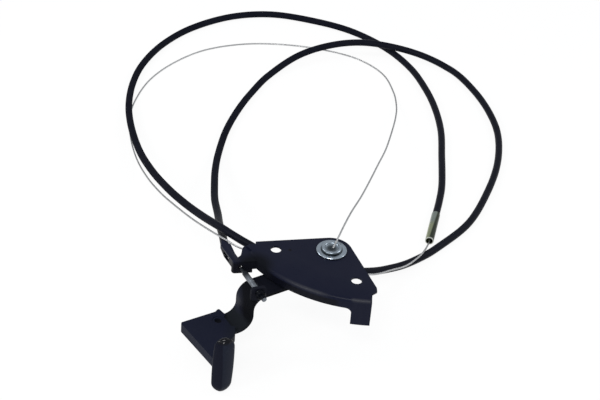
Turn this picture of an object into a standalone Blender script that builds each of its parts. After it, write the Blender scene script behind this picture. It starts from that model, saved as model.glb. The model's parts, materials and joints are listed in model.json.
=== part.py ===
"""Hood release cable: a stamped bracket with its pull lever, and the long cable that the lever pulls.

The frame: the origin is midway between the two fixing holes, on the bracket's top face, +Z leaves that face,
and +X runs along the bracket's straight rear edge. Sizes are in metres, written as millimetres times MM.
"""
import math

import bmesh
import bpy
from mathutils import Matrix, Vector

MM = 0.001

# Clearance between faces that touch on the real object
FIT = 0.3 * MM

# Bracket stamping
SHEET = 1.8 * MM
FIXING_PITCH = 70.3 * MM
FIXING_ANGLE = math.radians(-38.0)
FIXING_HOLE_R = 4.2 * MM
FOLD_R = 3.2 * MM
ARC_R = 110.0 * MM
FOLD_MIDDLE = Vector((-16.4, -24.43)) * MM
FOLD_FACING = math.radians(230.95)
FOLD_HALF = 56.54 * MM
FOLD_TIP = FOLD_HALF + 7.1 * MM
ARC_CENTRE = FOLD_MIDDLE - Vector((math.cos(FOLD_FACING), math.sin(FOLD_FACING))) * ARC_R
ARC_RIGHT = FOLD_FACING + FOLD_HALF / ARC_R
ARC_LEFT = FOLD_FACING - FOLD_HALF / ARC_R
ARC_TIP = FOLD_FACING - FOLD_TIP / ARC_R
FLANGE_DEPTH = 9.0 * MM
TAB_WIDTH = 15.0 * MM
TAB_DEPTH = 24.0 * MM
TAB_FILLET = 4.5 * MM
APEX_R = 16.5 * MM
RIGHT_EDGE_LEAN = math.radians(11.0)

# Pivot, from the top down
PIVOT = Vector((15.3, 16.0)) * MM
SHANK_R = 5.0 * MM
WASHER_R = 12.0 * MM
WASHER_T = 1.5 * MM
SEAT_DEPTH = 0.3 * MM
HEAD_R = 8.2 * MM
HEAD_T = 2.0 * MM
RECESS_R = 3.3 * MM
RECESS_DEPTH = 1.6 * MM
SPACER_R = 8.0 * MM
LOWER_WASHER_R = 10.0 * MM
LOWER_WASHER_T = 1.2 * MM
LOWER_HEAD_R = 7.5 * MM
LOWER_HEAD_T = 1.8 * MM

# Lever strip, in its own frame: x along the arm, y towards the pulled side
LEVER_ANGLE = math.radians(202.0)
LEVER_T = 3.0 * MM
LEVER_TOP = -11.5 * MM
LEVER_W = 22.0 * MM
LEVER_END_R = 13.0 * MM
BEND_OUT = 78.5 * MM
BEND_R = 9.0 * MM
LEVER_DROP = 26.5 * MM
TONGUE_END = 115.5 * MM

# Handle moulding
HANDLE_T = 8.5 * MM
HANDLE_ABOVE = 2.0 * MM
HANDLE_NEAR = 91.8 * MM
HANDLE_FAR = 124.6 * MM
HANDLE_TAPER = 1.8 * MM
GRIP_H = 52.2 * MM
GRIP_RAISE = 0.1 * MM
GRIP_W = 16.4 * MM
GRIP_T = 9.0 * MM
GRIP_AT = Vector((117.0, 37.0)) * MM
GRIP_FACING = math.radians(70.0)
GRIP_LEAN = math.radians(1.6)
GRIP_BARREL = 0.12
GRIP_RIDGE = 1.3
GRIP_EDGE = 0.68
GRIP_BACK = 0.72
TENON_W = 8.0 * MM
TENON_T = 4.0 * MM
TENON_L = 5.0 * MM
HANDLE_RIVET_AT = Vector((97.6, -4.5)) * MM
HANDLE_RIVET_R = 2.6 * MM
HANDLE_RIVET_HEAD_R = 4.6 * MM
HANDLE_RIVET_SINK = 1.3 * MM

# Cable
CABLE_Z = -7.0 * MM
WIRE_R = 0.75 * MM
SHEATH_R = 3.2 * MM
ANCHOR = Vector((-56.9, 10.3)) * MM
EAR_AT = Vector((-47.6, -20.0)) * MM
EAR_FACING = math.radians(76.0)
EAR_W = 12.5 * MM
EAR_H = 9.0 * MM
EAR_HOLE_R = 3.1 * MM
ANCHOR_TOP = -1.5 * MM
ANCHOR_H = 11.2 * MM
CAP_R = 3.4 * MM
CAP_LEN = 20.0 * MM
CAP_BORE_R = 1.3 * MM
CAP_BORE_DEPTH = 8.0 * MM
WIRE_HOLE_R = 1.7 * MM
WIRE_INSIDE = 1.5 * MM
SLEEVE_R = 2.3 * MM
SLEEVE_NECK_R = 1.5 * MM
SLEEVE_NECK = 5.0 * MM
SLEEVE_GAP = 1.5 * MM
SLEEVE_BORE = 28.0 * MM
NIPPLE_R = 3.7 * MM
NIPPLE_T = 3.0 * MM
TAIL_R = 2.0 * MM
TAIL_LEN = 4.5 * MM
FERRULE_R = 3.7 * MM
FERRULE_LEN = 39.0 * MM
FERRULE_WALL = 0.7 * MM
FERRULE_BORE_DEPTH = 6.0 * MM

# The cords lie on the surface that the lowest point of the grip touches
REST_Z = LEVER_TOP - LEVER_DROP + HANDLE_ABOVE - HANDLE_T / 2 + GRIP_RAISE - GRIP_H / 2

# Route of the outer sheath, in millimetres, from the bracket's end cap to the far ferrule
SHEATH_ROUTE = [
    (-64.3, 55.6, -11.4), (-63.3, 79.2, -18.2), (-61.1, 104.5, -26), (-59, 136, -35), (-54, 172, -46),
    (-48.5, 205.4, -55), (-41.3, 237.4, -61), (-29.9, 273.4, -63.5), (-14.5, 306.7, -63.5), (4, 338, -63.5),
    (28.6, 371, -63), (60.7, 395.2, -58), (94.2, 405.3, -54), (126.6, 407.5, -53.5), (158.5, 400.5, -56),
    (188.2, 388.5, -61), (210, 364, -63.5), (222.1, 327, -63.5), (227, 288, -63.5), (224.8, 250.4, -63.5),
    (212.5, 207.8, -63.5), (192, 166, -63.5), (163, 122, -63.5), (128, 91, -63.5), (98, 70, -61), (75.7, 58.3, -57),
    (54.9, 47, -49), (25.2, 36.8, -37), (-5.5, 31.5, -25), (-31, 33.5, -14.5), (-47.3, 39.6, -7.2),
    (-57.4, 46.8, -4.0), (-66, 56.8, -3.25), (-77.8, 80.6, -9), (-88, 112, -19), (-96.9, 149.5, -31.5),
    (-105.5, 193.7, -44.5), (-112, 238, -54), (-115.1, 283.8, -58.8), (-113.5, 324.2, -61), (-105.4, 365.4, -63),
    (-91.3, 400.3, -63.5), (-68, 434, -63.5), (-36, 462, -63.5), (6, 481, -63.5), (48, 483, -63.5),
    (89.5, 467.4, -63.5), (124, 445, -63.5), (152, 411, -63.5), (168.4, 373.1, -63.5), (174.8, 335.2, -63.5),
    (176, 299.7, -63.5), (172.4, 262, -63.5), (163.3, 222.1, -63.5), (153, 180, -63.5), (145.2, 157, -63.5),
    (136.4, 135.3, -63.5),
]

# Route of the bare wire, from the far ferrule's mouth back to the recess in the rivet's head
WIRE_ROUTE = [
    (112, 79.9, -57.7), (104.4, 70.1, -56), (91.2, 57.7, -54), (75.7, 47.6, -49.5),
    (55.6, 34.4, -42), (30, 28, -31), (0, 26, -20), (-28, 27.5, -11), (-52.4, 31.9, -6), (-64.8, 40.3, -2.5),
    (-75.5, 61.4, -8), (-85.5, 87.3, -16), (-96, 122, -27), (-102.8, 156.3, -40), (-109.1, 197.4, -54),
    (-114, 237.5, -63.5), (-116.3, 272.6, -65.5), (-114.6, 305.4, -65.5), (-106.5, 336.2, -65.5),
    (-89.4, 370.9, -65.5), (-63.6, 399.8, -65.5), (-30, 421.9, -65.5), (10, 431, -65.5), (50, 428, -65.5),
    (88, 416, -65.5), (119.6, 396.9, -65.5), (139.1, 368.6, -65.5), (143.2, 335.7, -65.5), (139.5, 306.2, -62.5),
    (132, 279, -57), (120, 245, -49.5), (104, 203, -39), (88, 166, -28), (72, 129, -17), (55.5, 91.3, -5),
    (40, 60, 3.5), (30, 39.5, 7.2), (21.7, 23, 7.8),
]
WIRE_TIP = (15.8, 14.3, 3.7)
SHEATH_POINTS = 80
WIRE_POINTS = 80
END_STRAIGHT = 4.0 * MM


def new_collection(name):
    made = bpy.data.collections.new(name)
    bpy.context.scene.collection.children.link(made)
    return made


for old in list(bpy.data.objects):
    bpy.data.objects.remove(old, do_unlink=True)
PARTS = new_collection("hood_release_cable")
CUTTERS = new_collection("cutters")


def material(name, colour, roughness, metallic):
    made = bpy.data.materials.new(name)
    made.use_nodes = True
    shader = made.node_tree.nodes["Principled BSDF"]
    shader.inputs["Base Color"].default_value = (*colour, 1)
    shader.inputs["Roughness"].default_value = roughness
    shader.inputs["Metallic"].default_value = metallic
    return made


BLACK_PAINT = material("black_paint", (0.02, 0.02, 0.03), 0.4, 0.0)
ZINC = material("bright_zinc", (0.6, 0.63, 0.68), 0.3, 1.0)
YELLOW_ZINC = material("yellow_zinc", (0.45, 0.4, 0.25), 0.35, 1.0)
BLACK_PLASTIC = material("black_plastic", (0.025, 0.025, 0.03), 0.45, 0.0)
GRIP_PLASTIC = material("grip_plastic", (0.04, 0.04, 0.045), 0.35, 0.0)
SHEATH_VINYL = material("sheath_vinyl", (0.015, 0.015, 0.018), 0.5, 0.0)
STEEL_WIRE = material("steel_wire", (0.45, 0.45, 0.46), 0.35, 1.0)


def put(obj, look, parent=None, collection=None):
    """Link an object, give it its material, and seat it on its parent empty."""
    (collection or PARTS).objects.link(obj)
    if look:
        obj.data.materials.append(look)
    obj.parent = parent
    return obj


def from_bmesh(name, bm):
    bmesh.ops.recalc_face_normals(bm, faces=bm.faces)
    mesh = bpy.data.meshes.new(name)
    bm.to_mesh(mesh)
    bm.free()
    mesh.set_sharp_from_angle(angle=math.radians(35))
    return bpy.data.objects.new(name, mesh)


def shade(obj):
    obj.data.shade_smooth()
    obj.data.set_sharp_from_angle(angle=math.radians(35))
    return obj


def cylinder(name, radius, low, high, centre=(0, 0), sides=32):
    """An upright cylinder between two heights."""
    bm = bmesh.new()
    middle = Matrix.Translation((centre[0], centre[1], (low + high) / 2))
    bmesh.ops.create_cone(
        bm, cap_ends=True, segments=sides, radius1=radius, radius2=radius, depth=high - low, matrix=middle
    )
    return from_bmesh(name, bm)


def box(name, size, centre, turn=0.0):
    bm = bmesh.new()
    place = Matrix.Translation(centre) @ Matrix.Rotation(turn, 4, "Z")
    bmesh.ops.create_cube(bm, size=1, matrix=place @ Matrix.Diagonal((*size, 1)))
    return from_bmesh(name, bm)


def turned(name, profile, sides=32):
    """A turned piece: (radius, height) pairs that run down the outer side and back up the bore."""
    bm = bmesh.new()
    points = [bm.verts.new((radius, 0, height)) for radius, height in profile]
    for a, b in zip(points, [*points[1:], points[0]]):
        if a.co.x > 0 or b.co.x > 0:
            bm.edges.new((a, b))
    mesh = bpy.data.meshes.new(name)
    bm.to_mesh(mesh)
    bm.free()
    obj = bpy.data.objects.new(name, mesh)
    screw = obj.modifiers.new("turn", "SCREW")
    screw.steps = screw.render_steps = sides
    screw.use_merge_vertices = True
    screw.merge_threshold = 0.00001
    return obj


def prism(name, outline, low, high):
    """A flat outline extruded between two heights, as a filled curve made a mesh."""
    curve = bpy.data.curves.new(name, "CURVE")
    curve.dimensions = "2D"
    curve.fill_mode = "BOTH"
    curve.extrude = (high - low) / 2
    spline = curve.splines.new("POLY")
    spline.points.add(len(outline) - 1)
    for point, (x, y) in zip(spline.points, outline):
        point.co = (x, y, 0, 1)
    spline.use_cyclic_u = True
    holder = bpy.data.objects.new(name + "_outline", curve)
    CUTTERS.objects.link(holder)
    bpy.context.view_layer.update()
    mesh = bpy.data.meshes.new_from_object(holder.evaluated_get(bpy.context.evaluated_depsgraph_get()))
    bpy.data.objects.remove(holder, do_unlink=True)
    mesh.transform(Matrix.Translation((0, 0, (low + high) / 2)))
    bm = bmesh.new()
    bm.from_mesh(mesh)
    bmesh.ops.remove_doubles(bm, verts=bm.verts, dist=0.00001)
    return from_bmesh(name, bm)


def combine(target, tool, operation="DIFFERENCE"):
    """Cut the tool out of the target, or join it on."""
    tool.hide_render = True
    tool.display_type = "WIRE"
    if not tool.users_collection:
        CUTTERS.objects.link(tool)
    tool.parent = target.parent
    step = target.modifiers.new(tool.name, "BOOLEAN")
    step.operation = operation
    step.object = tool
    step.solver = "EXACT"


def rounded(corners, radius, steps=4):
    """An open plan line whose inner corners are arcs."""
    line = [Vector(corners[0])]
    for before, corner, after in zip(corners, corners[1:], corners[2:]):
        corner = Vector(corner)
        to_before = (Vector(before) - corner).normalized()
        to_after = (Vector(after) - corner).normalized()
        half = to_before.angle(to_after) / 2
        reach = radius / math.tan(half)
        centre = corner + (to_before + to_after).normalized() * radius / math.sin(half)
        start = corner + to_before * reach - centre
        end = corner + to_after * reach - centre
        sweep = start.angle_signed(end)
        for i in range(steps + 1):
            line.append(centre + Matrix.Rotation(-sweep * i / steps, 2) @ start)
    line.append(Vector(corners[-1]))
    return line


def arc_point(radius, angle):
    return ARC_CENTRE + Vector((math.cos(angle), math.sin(angle))) * radius


def flange_depth(angle):
    """How far the flange hangs at an angle of the fold: deeper at the stop tab, with a fillet beside it."""
    along = (ARC_RIGHT - angle) * ARC_R
    if along <= TAB_WIDTH + 0.001 * MM:
        return TAB_DEPTH
    past = along - TAB_WIDTH
    if past >= TAB_FILLET:
        return FLANGE_DEPTH
    return FLANGE_DEPTH + TAB_FILLET - math.sqrt(TAB_FILLET**2 - (TAB_FILLET - past) ** 2)


def flange_angles():
    """Columns of the flange from its right end to its left, closer together round the tab's fillet."""
    tab = TAB_WIDTH / ARC_R
    fillet = TAB_FILLET / ARC_R
    angles = [ARC_RIGHT - tab * i / 3 for i in range(4)]
    angles += [ARC_RIGHT - tab - 0.001]
    angles += [ARC_RIGHT - tab - fillet * (1 - math.cos(math.pi / 2 * i / 4)) for i in range(1, 5)]
    last = angles[-1]
    count = 18
    return angles + [last + (ARC_LEFT - last) * i / count for i in range(1, count + 1)]


FOLD_STEPS = 4
FOLD_LAP = 2.0 * MM


def fold_section(angle, radius):
    """Points down one face of the folded edge: flat, round the fold at a radius, then down the flange."""
    middle = ARC_R - FOLD_R
    points = [(middle - FOLD_LAP, radius)]
    for i in range(FOLD_STEPS + 1):
        turn = math.pi / 2 * i / FOLD_STEPS
        points.append((middle + radius * math.sin(turn), radius * math.cos(turn)))
    points.append((middle + radius, FOLD_R - flange_depth(angle)))
    return [Vector((*arc_point(away, angle), height - FOLD_R)) for away, height in points]


def make_flange():
    """The folded edge along the arc, with the stop tab, as a loft of its own cross-sections."""
    bm = bmesh.new()
    loops = []
    for angle in flange_angles():
        loop = fold_section(angle, FOLD_R) + fold_section(angle, FOLD_R - SHEET)[::-1]
        loops.append([bm.verts.new(point) for point in loop])
    for a, b in zip(loops, loops[1:]):
        for i in range(len(a)):
            j = (i + 1) % len(a)
            bm.faces.new((a[i], a[j], b[j], b[i]))
    bm.faces.new(loops[0])
    bm.faces.new(loops[-1])
    return from_bmesh("flange", bm)


# The anchor's front wall carries the cable, and its side wall runs beside the end cap, a little clear of it
CABLE_DIR = (ANCHOR - EAR_AT).normalized()
CABLE_TURN = math.atan2(-CABLE_DIR.x, CABLE_DIR.y)
ARM_SIDE = CAP_R + 0.4 * MM + SHEET
ARM_LEN = 23.7 * MM
ARM_FRONT = ANCHOR - Vector((ARM_SIDE / CABLE_DIR.y, 0))
ARM_LINE = [ARM_FRONT, ARM_FRONT + CABLE_DIR * ARM_LEN]
ARM_BEND_R = 2.4 * MM
ARM_SHALLOW = 3.4 * MM
SIDE_H = 6.9 * MM
SLOT_LEN = 5.0 * MM
SLOT_H = 3.6 * MM


def wall_start():
    """Where the anchor's front wall leaves the flange: halfway through the flange's sheet."""
    rise = ARM_LINE[0].y - ARC_CENTRE.y
    return Vector((ARC_CENTRE.x - math.sqrt((ARC_R - SHEET / 2) ** 2 - rise**2), ARM_LINE[0].y))


def arm_outline():
    """The arm's plan outline: its outer line, and the same line a sheet's thickness inside."""
    outer = [wall_start(), *ARM_LINE]
    inner = []
    for i, corner in enumerate(outer):
        before = (corner - outer[i - 1]).normalized() if i else (outer[1] - corner).normalized()
        after = (outer[i + 1] - corner).normalized() if i + 1 < len(outer) else before
        side = (Vector((before.y, -before.x)) + Vector((after.y, -after.x))).normalized()
        inner.append(corner + side * SHEET / side.dot(Vector((before.y, -before.x))))
    return rounded(outer, ARM_BEND_R) + rounded(inner, ARM_BEND_R - SHEET)[::-1]


def plate_outline():
    """The plate's outline: its free edges round the pivot, then the fold line back along the arc."""
    lean = Vector((math.cos(RIGHT_EDGE_LEAN), math.sin(RIGHT_EDGE_LEAN)))
    down = Vector((lean.y, -lean.x))
    edge_end = PIVOT + lean * APEX_R + down * 52.0 * MM
    corner = arc_point(ARC_R - FOLD_R, ARC_RIGHT)
    points = [corner + Vector((1.6, 6.0)) * MM, edge_end + Vector((-0.6, -4.0)) * MM, edge_end]
    first = RIGHT_EDGE_LEAN
    points += [
        PIVOT + Vector((math.cos(a), math.sin(a))) * APEX_R
        for a in (first + (math.pi / 2 - first) * i / 14 for i in range(15))
    ]
    rear = PIVOT.y + APEX_R
    points += [Vector((-42.0 * MM, rear)), Vector((-42.6 * MM, rear - 2.8 * MM)), Vector((-46.6 * MM, rear - 2.4 * MM))]
    points += [arc_point(ARC_R - FOLD_R / 2, ARC_TIP)]
    return points + [arc_point(ARC_R - FOLD_R, angle) for angle in flange_angles()[::-1]]


def make_bracket():
    """One stamping: the plate, the folded flange with its stop tab, and the arm that holds the cable's end."""
    plate = prism("bracket_plate", plate_outline(), -SHEET, 0)
    put(plate, BLACK_PAINT)
    combine(plate, make_flange(), "UNION")
    low = ANCHOR_TOP - ANCHOR_H
    combine(plate, prism("arm", arm_outline(), low, ANCHOR_TOP), "UNION")
    front, end = ARM_LINE
    near = ANCHOR + Vector((-0.7, 2.6)) * MM
    leaf = [front + Vector((0.8, 0.9)) * MM, end + Vector((0.6, -0.6)) * MM, end + Vector((1.6, 6.2)) * MM]
    leaf += [near + Vector(p) * MM for p in ((-4.1, 20.1), (-2.3, 8.1), (-0.8, 3.2), (0, -1.7))]
    combine(plate, prism("anchor_leaf", leaf, ANCHOR_TOP - SHEET, ANCHOR_TOP - 0.02 * MM), "UNION")
    web = [near + Vector(p) * MM for p in ((-2.0, -1.4), (-2.0, 2.2), (1.4, 5.2), (2.4, 7.5), (4.3, 14.4), (6.3, 16.7))]
    web += [Vector((wall_start().x - 2.8 * MM, near.y + 17.0 * MM)), wall_start() + Vector((-0.3, 15.7)) * MM]
    web += [wall_start() + Vector((-0.3, 1.2)) * MM]
    combine(plate, prism("anchor_web", web, ANCHOR_TOP - SHEET + 0.05 * MM, ANCHOR_TOP - 0.05 * MM), "UNION")
    shallow = box("shallow", (12.0 * MM, 4 * SHEET, ARM_SHALLOW), (*wall_start(), low + ARM_SHALLOW / 2))
    shallow.data.transform(Matrix.Translation((2.1 * MM, 0, -0.01 * MM)))
    combine(plate, shallow)

    for side in (-1, 1):
        at = Vector((math.cos(FIXING_ANGLE), math.sin(FIXING_ANGLE))) * side * FIXING_PITCH / 2
        combine(plate, cylinder(f"fixing_{side + 1}", FIXING_HOLE_R, -4 * SHEET, SHEET, at))
    combine(plate, cylinder("pivot_hole", SHANK_R + FIT, -4 * SHEET, SHEET, PIVOT))
    combine(plate, cylinder("pivot_seat", WASHER_R + FIT, -SEAT_DEPTH, SHEET, PIVOT, 48))
    combine(plate, cable_rod("wire_hole", WIRE_HOLE_R, -SHEET * 2, SHEET * 2))
    side_place = front + CABLE_DIR * (3.2 * MM + ARM_LEN / 2)
    side_low = ANCHOR_TOP - SIDE_H
    combine(plate, box("side_edge", (4 * SHEET, ARM_LEN, 8.0 * MM), (*side_place, side_low - 4.0 * MM), CABLE_TURN))
    slot_at = front + CABLE_DIR * 10.6 * MM
    slot_z = side_low + 1.2 * MM + SLOT_H / 2
    combine(plate, box("slot", (4 * SHEET, SLOT_LEN, SLOT_H), (*slot_at, slot_z), CABLE_TURN))
    slope = box("wall_slope", (4 * SHEET, 16.0 * MM, 8.0 * MM), (0, 0, 0))
    slope.data.transform(Matrix.Translation((*end, side_low - 1.0 * MM)) @ Matrix.Rotation(math.radians(28), 4, "X"))
    combine(plate, slope)


# The cap's front face stands square to the cable, so it starts a little behind the anchor's front wall
CAP_START = (SHEET + FIT) / CABLE_DIR.y - CAP_R * CABLE_DIR.x / CABLE_DIR.y


def cable_place(distance):
    """A frame on the straight end of the cable, +Z back towards the sheath, at a distance from the anchor."""
    x_axis = Vector((0, 0, 1))
    z_axis = Vector((*CABLE_DIR, 0))
    y_axis = z_axis.cross(x_axis)
    turn = Matrix((x_axis, y_axis, z_axis)).transposed().to_4x4()
    return Matrix.Translation((*(ANCHOR + CABLE_DIR * distance), CABLE_Z)) @ turn


def cable_rod(name, radius, start, end, sides=20):
    """A cylinder on the cable's straight end, between two distances back from the anchor."""
    rod = cylinder(name, radius, start, end, sides=sides)
    rod.data.transform(cable_place(0))
    return rod


def make_pivot():
    top = -SEAT_DEPTH + FIT
    under = -SHEET - FIT
    washer = turned("pivot_washer", [
        (SHANK_R + FIT, top + WASHER_T), (WASHER_R - 0.4 * MM, top + WASHER_T), (WASHER_R, top + WASHER_T - 0.4 * MM),
        (WASHER_R, top), (SHANK_R + FIT, top)], 48)
    head = top + WASHER_T + FIT
    lever_low = LEVER_TOP - LEVER_T
    low_top = lever_low - FIT
    low_end = low_top - LOWER_WASHER_T - FIT
    crown = head + HEAD_T
    rivet = turned("pivot_rivet", [
        (0, crown - RECESS_DEPTH), (RECESS_R - 0.6 * MM, crown - RECESS_DEPTH), (RECESS_R, crown - RECESS_DEPTH / 2),
        (RECESS_R + 0.8 * MM, crown - 0.2 * MM), (RECESS_R + 1.8 * MM, crown), (HEAD_R - 2.2 * MM, crown - 0.1 * MM),
        (HEAD_R - 0.6 * MM, crown - 0.7 * MM), (HEAD_R, head + 0.5 * MM), (HEAD_R - 0.2 * MM, head), (SHANK_R, head),
        (SHANK_R, low_end), (LOWER_HEAD_R, low_end), (LOWER_HEAD_R, low_end - 0.8 * MM),
        (LOWER_HEAD_R - 1.6 * MM, low_end - LOWER_HEAD_T), (0, low_end - LOWER_HEAD_T)], 40)
    spacer = turned("pivot_spacer", [
        (SHANK_R + FIT, under), (SPACER_R, under), (SPACER_R, LEVER_TOP + FIT), (SHANK_R + FIT, LEVER_TOP + FIT)], 32)
    lower = turned("lower_washer", [
        (SHANK_R + FIT, low_top), (LOWER_WASHER_R, low_top), (LOWER_WASHER_R, low_top - LOWER_WASHER_T),
        (SHANK_R + FIT, low_top - LOWER_WASHER_T)], 32)
    for piece in (washer, rivet, spacer, lower):
        put(piece, ZINC)
        piece.location = (*PIVOT, 0)


def lever_path():
    """The strip's top face seen from the side, as (x, z): flat, the two bends of the drop, flat again."""
    outer = BEND_R + LEVER_T
    low = LEVER_TOP - LEVER_DROP
    path = [(x, LEVER_TOP) for x in (0, LEVER_END_R, BEND_OUT - outer)]
    for i in range(1, 9):
        turn = math.pi / 2 * i / 8
        path.append((BEND_OUT - outer + outer * math.sin(turn), LEVER_TOP - outer + outer * math.cos(turn)))
    for i in range(9):
        turn = math.pi / 2 * i / 8
        path.append((BEND_OUT + BEND_R - BEND_R * math.cos(turn), low + BEND_R - BEND_R * math.sin(turn)))
    return path + [(TONGUE_END, low)]


def make_lever(pivot):
    bm = bmesh.new()
    rows = []
    for i in range(9):
        turn = math.pi / 2 * i / 9 + 0.12
        rows.append((-LEVER_END_R * math.cos(turn), LEVER_TOP, LEVER_END_R * math.sin(turn)))
    rows += [(0, LEVER_TOP, LEVER_END_R)]
    rows += [(x, z, LEVER_W / 2) for x, z in lever_path()[1:]]
    grid = [[bm.verts.new((x, side * half, z)) for side in (-1, 1)] for x, z, half in rows]
    for a, b in zip(grid, grid[1:]):
        bm.faces.new((a[0], b[0], b[1], a[1]))
    lever = from_bmesh("lever_arm", bm)
    if lever.data.polygons[0].normal.z < 0:
        lever.data.flip_normals()
    sheet = lever.modifiers.new("sheet", "SOLIDIFY")
    sheet.thickness = LEVER_T
    sheet.offset = -1
    sheet.use_even_offset = True
    put(lever, BLACK_PAINT, pivot)
    at = Matrix.Rotation(-LEVER_ANGLE, 2) @ (EAR_AT - PIVOT)
    ear_low = LEVER_TOP - LEVER_T + 0.4 * MM
    ear_high = LEVER_TOP + EAR_H
    turn = EAR_FACING - math.pi / 2
    chamfer = 2.6 * MM
    half = EAR_W / 2
    face = [(-half, ear_low), (half, ear_low), (half, ear_high - chamfer), (half - 0.3 * chamfer, ear_high - 0.3 * chamfer)]
    face += [(half - chamfer, ear_high), (-half + chamfer, ear_high)]
    face += [(-half + 0.3 * chamfer, ear_high - 0.3 * chamfer), (-half, ear_high - chamfer)]
    ear = prism("ear", face, -LEVER_T / 2, LEVER_T / 2)
    ear.data.transform(Matrix.Translation((*at, 0)) @ Matrix.Rotation(turn, 4, "Z") @ Matrix.Rotation(math.pi / 2, 4, "X"))
    combine(lever, ear, "UNION")
    hole = cylinder("ear_hole", EAR_HOLE_R, -2 * LEVER_T, 2 * LEVER_T, sides=24)
    hole.data.transform(
        Matrix.Translation((*at, CABLE_Z)) @ Matrix.Rotation(turn, 4, "Z") @ Matrix.Rotation(math.pi / 2, 4, "X")
    )
    combine(lever, hole)
    combine(lever, cylinder("lever_hole", SHANK_R + FIT, LEVER_TOP - 3 * LEVER_T, LEVER_TOP + LEVER_T))
    low = LEVER_TOP - LEVER_DROP
    combine(lever, cylinder("tongue_hole", HANDLE_RIVET_R + FIT, low - 3 * LEVER_T, low + LEVER_T, HANDLE_RIVET_AT, 20))


def arc_between(centre, radius, start, end, steps):
    """Plan points round a circle from one angle in degrees to another."""
    angles = (math.radians(start + (end - start) * i / steps) for i in range(steps + 1))
    return [Vector(centre) + Vector((math.cos(a), math.sin(a))) * radius for a in angles]


def make_handle(pivot):
    """The moulding on the strip's end, its oval finger grip, and the rivet through them."""
    top = LEVER_TOP - LEVER_DROP + HANDLE_ABOVE
    low = top - HANDLE_T
    facing = Vector((math.cos(GRIP_FACING), math.sin(GRIP_FACING)))
    across = Vector((facing.y, -facing.x))
    back = GRIP_AT - facing * (GRIP_T * 0.36 + FIT)
    near = Vector((HANDLE_NEAR, 0))
    low_ear = ((0, 6.6), (0, -5.5), (-2.5, -7.9), (-1.6, -14.8), (-0.8, -15.8), (0.4, -15.5), (2.8, -14.2))
    outline = [near + Vector(p) * MM for p in low_ear]
    outline += arc_between(Vector((HANDLE_FAR - 1.5 * MM, -13.7 * MM)), 1.5 * MM, -90, 0, 3)
    outline += [Vector((HANDLE_FAR - HANDLE_TAPER, back.y - 2.2 * MM))]
    outline += [back + across * 6.4 * MM, back - across * 6.0 * MM]
    high_ear = ((14.2, 25.0), (10.6, 20.4), (7.6, 18.6), (4.9, 17.8), (1.5, 14.4), (-2.4, 7.7))
    outline += [near + Vector(p) * MM for p in high_ear]
    body = shade(prism("handle_body", outline, low, top))
    put(body, BLACK_PLASTIC, pivot)
    middle = top - HANDLE_T / 2
    tenon_at = back + facing * (TENON_L / 2 - 1.0 * MM)
    tenon = box("tenon", (TENON_W, TENON_L + 2.0 * MM, TENON_T), (*tenon_at, middle), GRIP_FACING - math.pi / 2)
    combine(body, tenon, "UNION")
    strip_low = LEVER_TOP - LEVER_DROP - LEVER_T
    reach = TONGUE_END + FIT - 80 * MM
    slot_size = (reach, LEVER_W + 2 * FIT, LEVER_T + 2 * FIT)
    combine(body, box("socket", slot_size, (80 * MM + reach / 2, 0, strip_low + LEVER_T / 2)))
    combine(body, cylinder("rivet_hole", HANDLE_RIVET_R + FIT, low - MM, top + MM, HANDLE_RIVET_AT, 20))
    sink = cylinder("rivet_sink", HANDLE_RIVET_HEAD_R, top - HANDLE_RIVET_SINK, top + MM, HANDLE_RIVET_AT, 28)
    combine(body, sink)

    head_top = top - 0.3 * MM
    head_low = top - HANDLE_RIVET_SINK + FIT
    head_r = HANDLE_RIVET_HEAD_R - FIT
    rivet = turned("handle_rivet", [
        (0, head_top), (head_r - 0.8 * MM, head_top), (head_r, head_top - 0.3 * MM), (head_r, head_low),
        (HANDLE_RIVET_R, head_low), (HANDLE_RIVET_R, low - FIT), (head_r, low - FIT), (head_r - 0.6 * MM, low - 1.4 * MM),
        (0, low - 1.4 * MM)], 24)
    put(rivet, BLACK_PAINT, pivot)
    rivet.location = (*HANDLE_RIVET_AT, 0)

    bm = bmesh.new()
    bmesh.ops.create_uvsphere(bm, u_segments=32, v_segments=20, radius=1)
    for vert in bm.verts:
        x, y, z = vert.co
        ring = max(math.hypot(x, y), 1e-6)
        over = max(0.0, (abs(z) - 1) * GRIP_H / GRIP_W + 1)
        wide = math.sqrt(1 - over**2) * (1 - GRIP_BARREL * z**2) / ring
        x *= wide
        y *= wide
        ridge = GRIP_RIDGE - (GRIP_RIDGE - GRIP_EDGE) * min(1.0, abs(x)) if y > 0 else GRIP_BACK
        vert.co = (x * GRIP_W / 2, y * GRIP_T / 2 * ridge, z * GRIP_H / 2)
    grip = shade(from_bmesh("finger_grip", bm))
    seat = Matrix.Translation((*GRIP_AT, middle + GRIP_RAISE)) @ Matrix.Rotation(GRIP_FACING - math.pi / 2, 4, "Z")
    grip.data.transform(seat @ Matrix.Rotation(-GRIP_LEAN, 4, "Y"))
    put(grip, GRIP_PLASTIC, pivot)
    pocket = box(
        "pocket", (TENON_W + 2 * FIT, TENON_L + 2 * FIT, TENON_T + 2 * FIT),
        (*(back + facing * (TENON_L / 2 - FIT)), middle), GRIP_FACING - math.pi / 2)
    combine(grip, pocket)


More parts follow.
